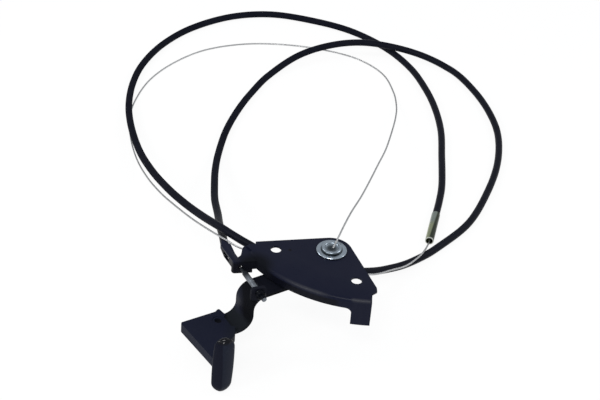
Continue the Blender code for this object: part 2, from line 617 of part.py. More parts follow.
def make_cable_ends():
    """The cap in the anchor, and the crimped end of the wire that the lever's ear pulls."""
    face = CAP_START
    cap = turned("near_end_cap", [
        (CAP_R, CAP_LEN + face), (CAP_R, face + 0.5 * MM), (CAP_R - 0.5 * MM, face), (CAP_BORE_R, face),
        (CAP_BORE_R, face + CAP_BORE_DEPTH), (0, face + CAP_BORE_DEPTH), (0, CAP_LEN + face)], 28)
    put(cap, BLACK_PAINT)
    cap.matrix_world = cable_place(0)
    reach = (ANCHOR - EAR_AT).length
    neck_start = -SLEEVE_GAP
    ear_face = -reach
    sleeve_end = ear_face - LEVER_T / 2 - 1.0 * MM
    bore = WIRE_R + FIT
    sleeve = turned("crimp_sleeve", [
        (bore, neck_start), (SLEEVE_NECK_R, neck_start), (SLEEVE_NECK_R, neck_start - SLEEVE_NECK),
        (SLEEVE_R, neck_start - SLEEVE_NECK - 1.0 * MM), (SLEEVE_R, sleeve_end), (0, sleeve_end),
        (0, neck_start - SLEEVE_BORE), (bore, neck_start - SLEEVE_BORE)], 20)
    nipple_top = sleeve_end - FIT
    nipple = turned("end_nipple", [
        (0, nipple_top), (NIPPLE_R, nipple_top), (NIPPLE_R, nipple_top - NIPPLE_T + 0.5 * MM),
        (NIPPLE_R - 0.5 * MM, nipple_top - NIPPLE_T), (TAIL_R, nipple_top - NIPPLE_T),
        (TAIL_R, nipple_top - NIPPLE_T - TAIL_LEN), (0, nipple_top - NIPPLE_T - TAIL_LEN)], 24)
    wire = cylinder("inner_wire_near", WIRE_R, neck_start - SLEEVE_BORE + FIT, WIRE_INSIDE, sides=10)
    for piece, look in ((sleeve, ZINC), (nipple, BLACK_PAINT), (wire, STEEL_WIRE)):
        put(piece, look)
        piece.matrix_world = cable_place(0)


def smooth_route(points, count):
    """Evenly spaced points on one smooth curve through a route's own points, with a short straight at each end."""
    route = [Vector(p) for p in points]
    route = [2 * route[0] - route[1], *route, 2 * route[-1] - route[-2]]
    dense = []
    for a, b, c, d in zip(route, route[1:], route[2:], route[3:]):
        for i in range(24):
            t = i / 24
            dense.append(
                0.5 * (2 * b + (c - a) * t + (2 * a - 5 * b + 4 * c - d) * t**2 + (3 * b - a - 3 * c + d) * t**3)
            )
    dense.append(route[-2])
    lengths = [0.0]
    for a, b in zip(dense, dense[1:]):
        lengths.append(lengths[-1] + (b - a).length)
    spaced = []
    index = 0
    wanted = [lengths[-1] * i / (count - 3) for i in range(count - 2)]
    for want in sorted([*wanted, END_STRAIGHT, lengths[-1] - END_STRAIGHT]):
        while index < len(dense) - 2 and lengths[index + 1] < want:
            index += 1
        span = lengths[index + 1] - lengths[index]
        spaced.append(dense[index].lerp(dense[index + 1], (want - lengths[index]) / span))
    return spaced, lengths[-1]


def cord(name, points, count, radius, look):
    """A plain round cord along a smooth route, as a bevelled curve with filled ends."""
    spaced, length = smooth_route(points, count)
    curve = bpy.data.curves.new(name, "CURVE")
    curve.dimensions = "3D"
    curve.bevel_depth = radius
    curve.bevel_resolution = 2
    curve.use_fill_caps = True
    spline = curve.splines.new("POLY")
    spline.points.add(count - 1)
    for point, place in zip(spline.points, spaced):
        point.co = (place.x, place.y, max(place.z, REST_Z + radius), 1)
    put(bpy.data.objects.new(name, curve), look)
    print(name, "length", round(length, 3), "m")


def make_cords():
    start = cable_place(CAP_START + FIT + CAP_LEN).translation
    straight = [start + Vector((*CABLE_DIR, 0)) * step * MM for step in (0, 5)]
    sheath = [Vector(p) * MM for p in SHEATH_ROUTE]
    cord("outer_sheath", straight + sheath, SHEATH_POINTS, SHEATH_R, SHEATH_VINYL)
    heading = (sheath[-1] - sheath[-2]).normalized()
    heading.z = 0
    heading.normalize()
    ferrule = turned("far_ferrule", [
        (FERRULE_R, FERRULE_LEN), (FERRULE_R, 0), (FERRULE_R - FERRULE_WALL, 0),
        (FERRULE_R - FERRULE_WALL, FERRULE_BORE_DEPTH), (0, FERRULE_BORE_DEPTH), (0, FERRULE_LEN)], 24)
    put(ferrule, YELLOW_ZINC)
    end = sheath[-1] + heading * (FERRULE_LEN + FIT)
    end.z = REST_Z + FERRULE_R + 0.05 * MM
    ferrule.matrix_world = Matrix.Translation(end) @ (-heading).to_track_quat("Z", "X").to_matrix().to_4x4()
    mouth = end - heading * (FERRULE_BORE_DEPTH - FIT - 1.0 * MM)
    wire = [mouth, end + heading * 3.0 * MM]
    wire += [Vector(p) * MM for p in [*WIRE_ROUTE, WIRE_TIP]]
    cord("inner_wire_free", wire, WIRE_POINTS, WIRE_R, STEEL_WIRE)


def main():
    lever_pivot = bpy.data.objects.new("lever_pivot", None)
    PARTS.objects.link(lever_pivot)
    lever_pivot.location = (*PIVOT, 0)
    lever_pivot.rotation_euler.z = LEVER_ANGLE
    bpy.context.view_layer.update()
    make_bracket()
    make_pivot()
    make_lever(lever_pivot)
    make_handle(lever_pivot)
    make_cable_ends()
    make_cords()


main()
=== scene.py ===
# %% [markdown]
# A hood release cable: a stamped bracket with a pull lever on a rivet, and two metres of control cable that
# lies in loops behind it. The measured solids come in as a fixed frame. This script gives them their real
# edges and finishes, lays the two cords, and sets the light and the camera.

# %% Load the frame
import json
import math

import bmesh
import bpy
from mathutils import Matrix, Vector


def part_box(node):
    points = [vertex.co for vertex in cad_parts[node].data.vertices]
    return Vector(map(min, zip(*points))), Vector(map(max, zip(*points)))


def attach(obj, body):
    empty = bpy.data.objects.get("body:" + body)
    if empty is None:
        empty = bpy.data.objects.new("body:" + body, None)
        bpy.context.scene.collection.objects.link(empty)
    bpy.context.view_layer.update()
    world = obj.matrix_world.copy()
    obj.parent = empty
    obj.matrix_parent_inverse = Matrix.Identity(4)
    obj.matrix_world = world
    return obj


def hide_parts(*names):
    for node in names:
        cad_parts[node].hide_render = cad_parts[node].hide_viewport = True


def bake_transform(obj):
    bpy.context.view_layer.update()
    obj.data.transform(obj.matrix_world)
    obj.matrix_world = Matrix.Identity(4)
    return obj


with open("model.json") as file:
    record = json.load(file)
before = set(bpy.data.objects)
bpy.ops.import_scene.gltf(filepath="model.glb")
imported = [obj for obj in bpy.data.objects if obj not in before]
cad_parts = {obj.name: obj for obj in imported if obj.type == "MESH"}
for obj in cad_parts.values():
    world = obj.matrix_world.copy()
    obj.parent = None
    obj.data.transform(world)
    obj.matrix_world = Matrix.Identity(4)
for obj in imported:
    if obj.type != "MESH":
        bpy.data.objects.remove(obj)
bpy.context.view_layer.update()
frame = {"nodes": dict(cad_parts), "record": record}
MM = 0.001

# %% [markdown]
# The camera comes first, because it says what has to look right. The photograph looks down on the bracket
# at 36.5 degrees from a little to the left, with a long lens, and the picture is turned by 5 degrees.

# %% The camera
CAMERA_ELEVATION = math.radians(36.5)
CAMERA_AZIMUTH = math.radians(-12.99)
CAMERA_ROLL = math.radians(5.0)
CAMERA_PLACE = Vector((-241.514, -973.007, 802.174)) * MM
LENS_MM = 99.84

camera = bpy.data.objects.new("camera", bpy.data.cameras.new("camera"))
bpy.context.scene.collection.objects.link(camera)
camera.data.sensor_width = 36
camera.data.lens = LENS_MM
camera.data.clip_end = 50
camera.matrix_world = (
    Matrix.Translation(CAMERA_PLACE)
    @ Matrix.Rotation(CAMERA_AZIMUTH, 4, "Z")
    @ Matrix.Rotation(math.pi / 2 - CAMERA_ELEVATION, 4, "X")
    @ Matrix.Rotation(CAMERA_ROLL, 4, "Z")
)
bpy.context.scene.camera = camera
print("camera:", round(CAMERA_PLACE.length, 3), "m away, lens", LENS_MM, "mm")

# %% [markdown]
# The cords come next, because everything else depends on where they lie. The sheath is one smooth curve
# through given points: straight out of the cap, down to the surface, round one wide loop, over itself
# near the bracket, and round again to the far ferrule. The points are in millimetres and repeat the
# measured part's.

# %% Routes of the two cords
CABLE_DIRECTION = Vector((-0.293416, 0.955985, 0))
ANCHOR = Vector((-56.9, 10.3, -7.0)) * MM
FIT = 0.3 * MM
CAP_START = 3.24 * MM
CAP_END = 23.24 * MM
SHEATH_START = ANCHOR + CABLE_DIRECTION * (CAP_END + FIT)
SURFACE_Z = -66.25 * MM

SHEATH_ROUTE = [
    (-64.3, 55.6, -11.4), (-63.3, 79.2, -18.2), (-61.1, 104.5, -26), (-59, 136, -35), (-54, 172, -46),
    (-48.5, 205.4, -55), (-41.3, 237.4, -61), (-29.9, 273.4, -63.5), (-14.5, 306.7, -63.5), (4, 338, -63.5),
    (28.6, 371, -63), (60.7, 395.2, -58), (94.2, 405.3, -54), (126.6, 407.5, -53.5), (158.5, 400.5, -56),
    (188.2, 388.5, -61), (210, 364, -63.5), (222.1, 327, -63.5), (227, 288, -63.5), (224.8, 250.4, -63.5),
    (212.5, 207.8, -63.5), (192, 166, -63.5), (163, 122, -63.5), (128, 91, -63.5), (98, 70, -61),
    (75.7, 58.3, -57), (54.9, 47, -49), (25.2, 36.8, -37), (-5.5, 31.5, -25), (-31, 33.5, -14.5),
    (-47.3, 39.6, -7.2), (-57.4, 46.8, -4.0), (-66, 56.8, -3.25), (-77.8, 80.6, -9), (-88, 112, -19),
    (-96.9, 149.5, -31.5), (-105.5, 193.7, -44.5), (-112, 238, -54), (-115.1, 283.8, -58.8),
    (-113.5, 324.2, -61), (-105.4, 365.4, -63), (-91.3, 400.3, -63.5), (-68, 434, -63.5), (-36, 462, -63.5),
    (6, 481, -63.5), (48, 483, -63.5), (89.5, 467.4, -63.5), (124, 445, -63.5), (152, 411, -63.5),
    (168.4, 373.1, -63.5), (174.8, 335.2, -63.5), (176, 299.7, -63.5), (172.4, 262, -63.5),
    (163.3, 222.1, -63.5), (153, 180, -63.5), (145.2, 157, -63.5), (136.4, 135.3, -63.5),
]
WIRE_ROUTE = [
    (112, 79.9, -57.7), (104.4, 70.1, -56), (91.2, 57.7, -54), (75.7, 47.6, -49.5), (55.6, 34.4, -42),
    (30, 28, -31), (0, 26, -20), (-28, 27.5, -11), (-52.4, 31.9, -6), (-64.8, 40.3, -2.5),
    (-75.5, 61.4, -8), (-85.5, 87.3, -16), (-96, 122, -27), (-102.8, 156.3, -40), (-109.1, 197.4, -54),
    (-114, 237.5, -63.5), (-116.3, 272.6, -65.5), (-114.6, 305.4, -65.5), (-106.5, 336.2, -65.5),
    (-89.4, 370.9, -65.5), (-63.6, 399.8, -65.5), (-30, 421.9, -65.5), (10, 431, -65.5), (50, 428, -65.5),
    (88, 416, -65.5), (119.6, 396.9, -65.5), (139.1, 368.6, -65.5), (143.2, 335.7, -65.5),
    (139.5, 306.2, -62.5), (132, 279, -57), (120, 245, -49.5), (104, 203, -39), (88, 166, -28),
    (72, 129, -17), (55.5, 91.3, -5), (40, 60, 3.5), (30, 39.5, 7.2), (21.7, 23, 7.8), (15.8, 14.3, 3.7),
]
print("sheath:", len(SHEATH_ROUTE), "points, wire:", len(WIRE_ROUTE), "points")

# %% [markdown]
# A cord bends smoothly, and its points have to be evenly spaced, or the sections carried along it would
# bunch up. So a Catmull-Rom curve runs through the given points, is cut into many short chords, and
# is then walked in equal steps. A point that would sink into the surface is lifted on to it.

# %% A smooth line through the points
CHORDS = 24


def in_metres(points):
    """Route points as vectors in metres."""
    return [Vector(point) * MM for point in points]


def curve_point(a, b, c, d, t):
    """The Catmull-Rom point between b and c, at a share t of the way."""
    return 0.5 * (2 * b + (c - a) * t + (2 * a - 5 * b + 4 * c - d) * t**2 + (3 * b - a - 3 * c + d) * t**3)


def smooth_line(points, radius, step):
    """Evenly spaced points on a smooth curve through the given ones, never lower than the surface allows."""
    line = [2 * points[0] - points[1], *points, 2 * points[-1] - points[-2]]
    spans = zip(line, line[1:], line[2:], line[3:])
    dense = [curve_point(*span, i / CHORDS) for span in spans for i in range(CHORDS)] + [points[-1]]
    lengths = [0.0]
    for a, b in zip(dense, dense[1:]):
        lengths.append(lengths[-1] + (b - a).length)
    count = round(lengths[-1] / step) + 1
    spaced = []
    index = 0
    for i in range(count):
        want = lengths[-1] * i / (count - 1)
        while index < len(dense) - 2 and lengths[index + 1] < want:
            index += 1
        span = lengths[index + 1] - lengths[index]
        place = dense[index].lerp(dense[index + 1], (want - lengths[index]) / span)
        place.z = max(place.z, SURFACE_Z + radius)
        spaced.append(place)
    return spaced, lengths[-1]


# %% [markdown]
# The sheath starts straight, as the cap holds it. The ferrule carries on from the sheath's last stretch,
# and the bare wire starts inside its bore, so the wire's line begins where the ferrule's sizes put it.

# %% The lines of the sheath and of the bare wire
SHEATH_RADIUS = 3.2 * MM
sheath_points = [SHEATH_START, SHEATH_START + CABLE_DIRECTION * 5 * MM, *in_metres(SHEATH_ROUTE)]
sheath_line, sheath_length = smooth_line(sheath_points, SHEATH_RADIUS, 2 * MM)
print("sheath:", round(sheath_length, 3), "m in", len(sheath_line), "points")

WIRE_RADIUS = 0.75 * MM
FERRULE_LENGTH = 39.0 * MM
FERRULE_RADIUS = 3.7 * MM
WIRE_IN_BORE = 4.7 * MM
heading = (Vector(SHEATH_ROUTE[-1]) - Vector(SHEATH_ROUTE[-2])).normalized()
ferrule_mouth = Vector(SHEATH_ROUTE[-1]) * MM + heading * (FERRULE_LENGTH + FIT)
ferrule_mouth.z = SURFACE_Z + FERRULE_RADIUS + 0.05 * MM
wire_points = [ferrule_mouth - heading * WIRE_IN_BORE, ferrule_mouth + heading * 3 * MM]
wire_points += in_metres(WIRE_ROUTE)
wire_line, wire_length = smooth_line(wire_points, WIRE_RADIUS, 1 * MM)
print("free wire:", round(wire_length, 3), "m in", len(wire_line), "points")

# %% [markdown]
# A cord is a cross-section carried along its line. Geometry Nodes do that for both: the evenly spaced line
# is read as a curve and given a round section for the sheath, or a section with one lobe for each strand
# for the wire, turned steadily along the length so that the lobes become a twisted lay.

# %% Helpers for node trees
def link_object(name, data):
    """An object of the data, in the scene."""
    made = bpy.data.objects.new(name, data)
    bpy.context.scene.collection.objects.link(made)
    return made


def add_inputs(tree, sizes):
    """Named number inputs of a tree, each with its own value."""
    for name, value in sizes.items():
        kind = "NodeSocketInt" if isinstance(value, int) else "NodeSocketFloat"
        tree.interface.new_socket(name, in_out="INPUT", socket_type=kind).default_value = value


def math_node(tree, operation, *values):
    """The result of a math node, fed by sockets or plain numbers."""
    node = tree.nodes.new("ShaderNodeMath")
    node.operation = operation
    for socket, value in zip(node.inputs, values):
        if isinstance(value, bpy.types.NodeSocket):
            tree.links.new(value, socket)
        else:
            socket.default_value = value
    return node.outputs[0]


# %% [markdown]
# The section is a circle whose radius dips between the strands. A cosine makes the lobes: its size is 1 on
# a strand's crown and 0 in a valley. With no valley depth the same section is plainly round.

# %% The lobed section
def lobed_section(tree, given, sides):
    """A circle of so many sides, whose radius dips by the valley depth between the strands."""
    circle = tree.nodes.new("GeometryNodeCurvePrimitiveCircle")
    circle.inputs["Resolution"].default_value = sides
    tree.links.new(given["Radius"], circle.inputs["Radius"])
    share = tree.nodes.new("GeometryNodeSplineParameter").outputs["Factor"]
    lobes = math_node(tree, "MULTIPLY", math_node(tree, "MULTIPLY", share, math.pi), given["Strands"])
    valley = math_node(tree, "SUBTRACT", 1.0, math_node(tree, "ABSOLUTE", math_node(tree, "COSINE", lobes)))
    shrink = math_node(tree, "SUBTRACT", 1.0, math_node(tree, "MULTIPLY", valley, given["Valley depth"]))
    scale = tree.nodes.new("ShaderNodeVectorMath")
    scale.operation = "SCALE"
    tree.links.new(tree.nodes.new("GeometryNodeInputPosition").outputs[0], scale.inputs[0])
    tree.links.new(shrink, scale.inputs["Scale"])
    section = tree.nodes.new("GeometryNodeSetPosition")
    tree.links.new(circle.outputs["Curve"], section.inputs["Geometry"])
    tree.links.new(scale.outputs["Vector"], section.inputs["Position"])
    return section.outputs["Geometry"]


# %% [markdown]
# The tree tilts the line steadily along its length, once round in each lay length, sweeps the section along
# it, closes both ends, and gives the mesh its finish.

# %% The tree that carries a section along a line
def cord_tree(name, section_sides, sizes):
    """A tree that turns a curve into a cord of lobed section, twisted once in each lay length."""
    tree = bpy.data.node_groups.new(name, "GeometryNodeTree")
    tree.interface.new_socket("Line", in_out="INPUT", socket_type="NodeSocketGeometry")
    add_inputs(tree, sizes)
    tree.interface.new_socket("Finish", in_out="INPUT", socket_type="NodeSocketMaterial")
    tree.interface.new_socket("Cord", in_out="OUTPUT", socket_type="NodeSocketGeometry")
    given = tree.nodes.new("NodeGroupInput").outputs

    along = tree.nodes.new("GeometryNodeSplineParameter")
    turns = math_node(tree, "DIVIDE", along.outputs["Length"], given["Lay length"])
    tilt = tree.nodes.new("GeometryNodeSetCurveTilt")
    tree.links.new(given["Line"], tilt.inputs["Curve"])
    tree.links.new(math_node(tree, "MULTIPLY", turns, 2 * math.pi), tilt.inputs["Tilt"])

    sweep = tree.nodes.new("GeometryNodeCurveToMesh")
    tree.links.new(tilt.outputs["Curve"], sweep.inputs["Curve"])
    tree.links.new(lobed_section(tree, given, section_sides), sweep.inputs["Profile Curve"])
    sweep.inputs["Fill Caps"].default_value = True
    real = tree.nodes.new("GeometryNodeRealizeInstances")
    tree.links.new(sweep.outputs["Mesh"], real.inputs["Geometry"])
    finish = tree.nodes.new("GeometryNodeSetMaterial")
    tree.links.new(real.outputs["Geometry"], finish.inputs["Geometry"])
    tree.links.new(given["Finish"], finish.inputs["Material"])
    tree.links.new(finish.outputs["Geometry"], tree.nodes.new("NodeGroupOutput").inputs["Cord"])
    return tree


# %% [markdown]
# A modifier runs the tree on a plain polyline. What it makes is then kept as a mesh of its own, because a
# mesh can be measured, exported and bent by a joint, and a modifier's result can't. Sharp edges are marked
# after that, so that the strands shade smoothly and the cut ends stay crisp.

# %% Run a tree and keep its mesh
CUT_END = math.radians(80)


def set_input(modifier, name, value):
    """Set a modifier's input by the name that the tree gives it."""
    for item in modifier.node_group.interface.items_tree:
        if item.item_type == "SOCKET" and item.in_out == "INPUT" and item.name == name:
            modifier[item.identifier] = value


def keep_result(holder, name):
    """The evaluated shape of an object as a plain mesh object of its own."""
    bpy.context.view_layer.update()
    shape = holder.evaluated_get(bpy.context.evaluated_depsgraph_get())
    mesh = bpy.data.meshes.new_from_object(shape, preserve_all_data_layers=True,
                                           depsgraph=bpy.context.evaluated_depsgraph_get())
    mesh.name = name
    bpy.data.objects.remove(holder, do_unlink=True)
    return link_object(name, mesh)


def make_cord(name, line, tree, finish, **sizes):
    """A cord along a line of points, with the tree's sizes given by name."""
    curve = bpy.data.curves.new(name + "_line", "CURVE")
    curve.dimensions = "3D"
    curve.twist_mode = "MINIMUM"
    spline = curve.splines.new("POLY")
    spline.points.add(len(line) - 1)
    for point, place in zip(spline.points, line):
        point.co = (*place, 1)
    holder = link_object(name + "_line", curve)
    modifier = holder.modifiers.new("cord", "NODES")
    modifier.node_group = tree
    set_input(modifier, "Finish", finish)
    for size, value in sizes.items():
        set_input(modifier, size.replace("_", " ").capitalize(), value)
    made = keep_result(holder, name)
    made.data.shade_smooth()
    made.data.set_sharp_from_angle(angle=CUT_END)
    print(name, len(made.data.polygons), "faces")
    return made


# %% [markdown]
# Finishes. Every one of them starts from the same kind of break-up: two colours in soft blotches, a fine
# grain for the bump, and a roughness that wanders between two values. One node group does that, and each
# material gives it its own colours and scales.

# %% Helpers for shader trees
def shader_node(tree, kind, **inputs):
    """A shader node whose inputs, named with underscores for spaces, are sockets or plain values."""
    node = tree.nodes.new(kind)
    for name, value in inputs.items():
        socket = node.inputs[name.replace("_", " ")]
        if isinstance(value, bpy.types.NodeSocket):
            tree.links.new(value, socket)
        else:
            socket.default_value = value
    return node


def object_coordinates(tree):
    """Places on the piece itself, in metres, which stay put when the piece moves."""
    return tree.nodes.new("ShaderNodeTexCoord").outputs["Object"]


def new_shader_group(name, inputs, outputs):
    """An empty group with its sockets, and the sockets inside it."""
    group = bpy.data.node_groups.new(name, "ShaderNodeTree")
    for socket, (kind, value) in inputs.items():
        group.interface.new_socket(socket, in_out="INPUT", socket_type=kind).default_value = value
    for socket, kind in outputs.items():
        group.interface.new_socket(socket, in_out="OUTPUT", socket_type=kind)
    return group, group.nodes.new("NodeGroupInput").outputs, group.nodes.new("NodeGroupOutput").inputs


# %% [markdown]
# The group has three noises. A soft one mixes the two colours, a fine one is the grain, and a middle one
# lets the roughness wander. It puts out a colour, a roughness and a height, and leaves the shader itself to
# each material.

# %% The shared break-up group
NUMBER = "NodeSocketFloat"
COLOUR = "NodeSocketColor"
BREAK_UP, given, result = new_shader_group(
    "surface break-up",
    {
        "Main Colour": (COLOUR, (0.5, 0.5, 0.5, 1)), "Second Colour": (COLOUR, (0.5, 0.5, 0.5, 1)),
        "Blotch Scale": (NUMBER, 60.0), "Blotch Share": (NUMBER, 0.5), "Grain Scale": (NUMBER, 900.0),
        "Smoothest": (NUMBER, 0.3), "Roughest": (NUMBER, 0.5),
    },
    {"Colour": COLOUR, "Roughness": NUMBER, "Height": NUMBER},
)
place = object_coordinates(BREAK_UP)
blotch = shader_node(BREAK_UP, "ShaderNodeTexNoise", Vector=place, Scale=given["Blotch Scale"], Detail=5.0,
                     Roughness=0.6)
blotch_mask = shader_node(BREAK_UP, "ShaderNodeMapRange", Value=blotch.outputs[0], From_Min=0.35,
                          From_Max=0.75)
amount = math_node(BREAK_UP, "MULTIPLY", blotch_mask.outputs[0], given["Blotch Share"])
blend_colours = BREAK_UP.nodes.new("ShaderNodeMix")
blend_colours.data_type = "RGBA"
BREAK_UP.links.new(amount, blend_colours.inputs["Factor"])
BREAK_UP.links.new(given["Main Colour"], blend_colours.inputs["A"])
BREAK_UP.links.new(given["Second Colour"], blend_colours.inputs["B"])
BREAK_UP.links.new(blend_colours.outputs["Result"], result["Colour"])
grain = shader_node(BREAK_UP, "ShaderNodeTexNoise", Vector=place, Scale=given["Grain Scale"], Detail=3.0,
                    Roughness=0.55)
BREAK_UP.links.new(grain.outputs[0], result["Height"])
wander = shader_node(BREAK_UP, "ShaderNodeTexNoise", Vector=place, Scale=85.0, Detail=6.0, Roughness=0.7)
spread = shader_node(BREAK_UP, "ShaderNodeMapRange", Value=wander.outputs[0], From_Min=0.3, From_Max=0.7,
                     To_Min=given["Smoothest"], To_Max=given["Roughest"])
BREAK_UP.links.new(spread.outputs[0], result["Roughness"])
print("break-up group:", len(BREAK_UP.nodes), "nodes")

# %% [markdown]
# Each finish is then one Principled shader with the group in front of it. The grain goes in as a bump of a
# few hundredths of a millimetre, because it is far too fine to model and only changes how the light breaks.

# %% One material from its colours, scales and shine
def finish_material(name, main, second, *, blotch=60.0, share=0.5, grain=900.0, bump=0.1, depth=0.00005,
                    rough=(0.3, 0.5), metallic=0.0, specular=0.5):
    """A Principled material fed by the break-up group, its grain as a bump of the given depth in metres."""
    made = bpy.data.materials.new(name)
    made.use_nodes = True
    tree = made.node_tree
    surface = tree.nodes["Principled BSDF"]
    group = tree.nodes.new("ShaderNodeGroup")
    group.node_tree = BREAK_UP
    group.name = "break-up"
    group.inputs["Main Colour"].default_value = (*main, 1)
    group.inputs["Second Colour"].default_value = (*second, 1)
    group.inputs["Blotch Scale"].default_value = blotch
    group.inputs["Blotch Share"].default_value = share
    group.inputs["Grain Scale"].default_value = grain
    group.inputs["Smoothest"].default_value = rough[0]
    group.inputs["Roughest"].default_value = rough[1]
    surface.inputs["Metallic"].default_value = metallic
    surface.inputs["Specular IOR Level"].default_value = specular
    tree.links.new(group.outputs["Colour"], surface.inputs["Base Color"])
    tree.links.new(group.outputs["Roughness"], surface.inputs["Roughness"])
    relief = shader_node(tree, "ShaderNodeBump", Strength=bump, Distance=depth,
                         Height=group.outputs["Height"])
    tree.links.new(relief.outputs["Normal"], surface.inputs["Normal"])
    return made


# %% [markdown]
# Some marks sit at one place of a piece: a smear of grease, a dimple, a stretch that fingers keep shiny. A
# mask is a number from 0 to 1 that is worked out from the Object coordinates, and it mixes a new value into
# whatever already feeds a socket.

# %% Masks, and mixing a value in by a mask
def slope_mask(tree, direction, start, end):
    """A mask that rises from 0 to 1 between two distances along a direction."""
    along = tree.nodes.new("ShaderNodeVectorMath")
    along.operation = "DOT_PRODUCT"
    tree.links.new(object_coordinates(tree), along.inputs[0])
    along.inputs[1].default_value = Vector(direction).normalized()
    ramp = shader_node(tree, "ShaderNodeMapRange", Value=along.outputs["Value"], From_Min=start, From_Max=end)
    return ramp.outputs[0]


def spot_mask(tree, centre, inner, outer, stretch=(1, 1, 1)):
    """A mask that is 1 near a point and fades to 0 between two distances from it."""
    offset = tree.nodes.new("ShaderNodeVectorMath")
    offset.operation = "SUBTRACT"
    tree.links.new(object_coordinates(tree), offset.inputs[0])
    offset.inputs[1].default_value = centre
    squash = tree.nodes.new("ShaderNodeVectorMath")
    squash.operation = "MULTIPLY"
    tree.links.new(offset.outputs[0], squash.inputs[0])
    squash.inputs[1].default_value = stretch
    reach = tree.nodes.new("ShaderNodeVectorMath")
    reach.operation = "LENGTH"
    tree.links.new(squash.outputs[0], reach.inputs[0])
    ramp = shader_node(tree, "ShaderNodeMapRange", Value=reach.outputs["Value"], From_Min=inner,
                       From_Max=outer, To_Min=1.0, To_Max=0.0)
    return ramp.outputs[0]


def mix_in(tree, socket, value, mask):
    """Mix a colour or a number into a socket, over what feeds it now."""
    mix = tree.nodes.new("ShaderNodeMix")
    mix.data_type = "FLOAT" if isinstance(value, float) else "RGBA"
    kind = "VALUE" if isinstance(value, float) else "RGBA"
    factor, before, after = (next(item for item in mix.inputs if item.name == name and item.type == wanted)
                             for name, wanted in (("Factor", "VALUE"), ("A", kind), ("B", kind)))
    tree.links.new(mask, factor)
    if socket.links:
        tree.links.new(socket.links[0].from_socket, before)
    else:
        before.default_value = socket.default_value
    after.default_value = value if isinstance(value, float) else (*value, 1)
    tree.links.new(next(item for item in mix.outputs if item.type == kind), socket)


# %% [markdown]
# The bracket and the lever are painted with black primer: nearly black with a cold tint, satin, with the
# faint orange peel of a thin coat. The handle is a grained black moulding, the grip a smoother one. The
# sheath is drawn vinyl. All four are so dark that their shine decides how they look, which is why the
# specular level is set for each.

# %% Black finishes
BLACK_PAINT = finish_material(
    "black_primer", (0.005, 0.0064, 0.0165), (0.0085, 0.0095, 0.02), blotch=45.0, share=0.5, grain=1400.0,
    bump=0.25, depth=0.00003, rough=(0.24, 0.36), specular=0.07)
HANDLE_PLASTIC = finish_material(
    "handle_moulding", (0.0074, 0.009, 0.019), (0.0096, 0.0112, 0.0215), blotch=70.0, grain=2600.0, bump=0.5,
    depth=0.00006, rough=(0.34, 0.46), specular=0.03)
GRIP_PLASTIC = finish_material(
    "grip_moulding", (0.0105, 0.0128, 0.0215), (0.0125, 0.016, 0.026), blotch=50.0, grain=2000.0, bump=0.15,
    depth=0.00004, rough=(0.26, 0.36), specular=0.03)
SHEATH_VINYL = finish_material(
    "sheath_vinyl", (0.0042, 0.0048, 0.0092), (0.0068, 0.0078, 0.0135), blotch=120.0, share=0.7, grain=1500.0,
    bump=0.3, depth=0.00005, rough=(0.36, 0.5), specular=0.05)


def parts_of(material):
    """A material's tree and the sockets of its Principled shader."""
    return material.node_tree, material.node_tree.nodes["Principled BSDF"].inputs


def copy_of(material, name):
    """The same finish under another name, to carry marks of its own."""
    made = material.copy()
    made.name = name
    return made


print("black finishes:", BLACK_PAINT.name, HANDLE_PLASTIC.name, GRIP_PLASTIC.name, SHEATH_VINYL.name)

# %% [markdown]
# The loops on the left look matt in the photograph, as if dusty. The mask rises along a slanted direction,
# so that the short stretch at the bracket keeps its shine.

# %% The sheath's matt stretch
MATT = 0.85
tree, shader = parts_of(SHEATH_VINYL)
mix_in(tree, shader["Roughness"], MATT, slope_mask(tree, (-1, 0.6, 0), 100 * MM, 130 * MM))
print("sheath: roughness", MATT, "on the left")

# %% [markdown]
# The grip's two faces meet at a ridge, and the left one is darkened as painted shade. The tip is darker
# in colour, and shines as if fingers had polished it. A clear coat that exists only there gives that shine,
# and dents in the coat's own normal break the lamps into small glints.

# %% The grip's painted shade on one face, and its polished tip
tree, shader = parts_of(GRIP_PLASTIC)
# Painted shade: the grip's left face is darker.
mix_in(tree, shader["Base Color"], (0.0062, 0.007, 0.0135),
       slope_mask(tree, (-1, 0, -0.02), 80.6 * MM, 81.6 * MM))
tip = slope_mask(tree, (0, 0, 1), -18.5 * MM, -16.5 * MM)
mix_in(tree, shader["Base Color"], (0.002, 0.0022, 0.004), tip)
mix_in(tree, shader["Coat Weight"], 0.8, tip)
shader["Coat IOR"].default_value = 1.25
shader["Coat Roughness"].default_value = 0.06
dents = shader_node(tree, "ShaderNodeTexVoronoi", Scale=300.0, Vector=object_coordinates(tree))
dented = shader_node(tree, "ShaderNodeBump", Strength=1.0, Distance=0.8 * MM,
                     Height=dents.outputs["Distance"])
tree.links.new(dented.outputs["Normal"], shader["Coat Normal"])
print("grip:", len(tree.nodes), "nodes")

# %% [markdown]
# The handle is a shade warmer along its right side. Its rivet is capped with the same plastic, so that
# finish is a copy, and gets its own mark when the rivet is made.

# %% The handle's warm side, and the plastic of its rivet
tree, shader = parts_of(HANDLE_PLASTIC)
mix_in(tree, shader["Base Color"], (0.0088, 0.0106, 0.0155),
       slope_mask(tree, (1, -0.25, 0), -66 * MM, -56 * MM))
RIVET_PLASTIC = copy_of(HANDLE_PLASTIC, "handle_rivet_cap")
print("handle:", len(tree.nodes), "nodes")
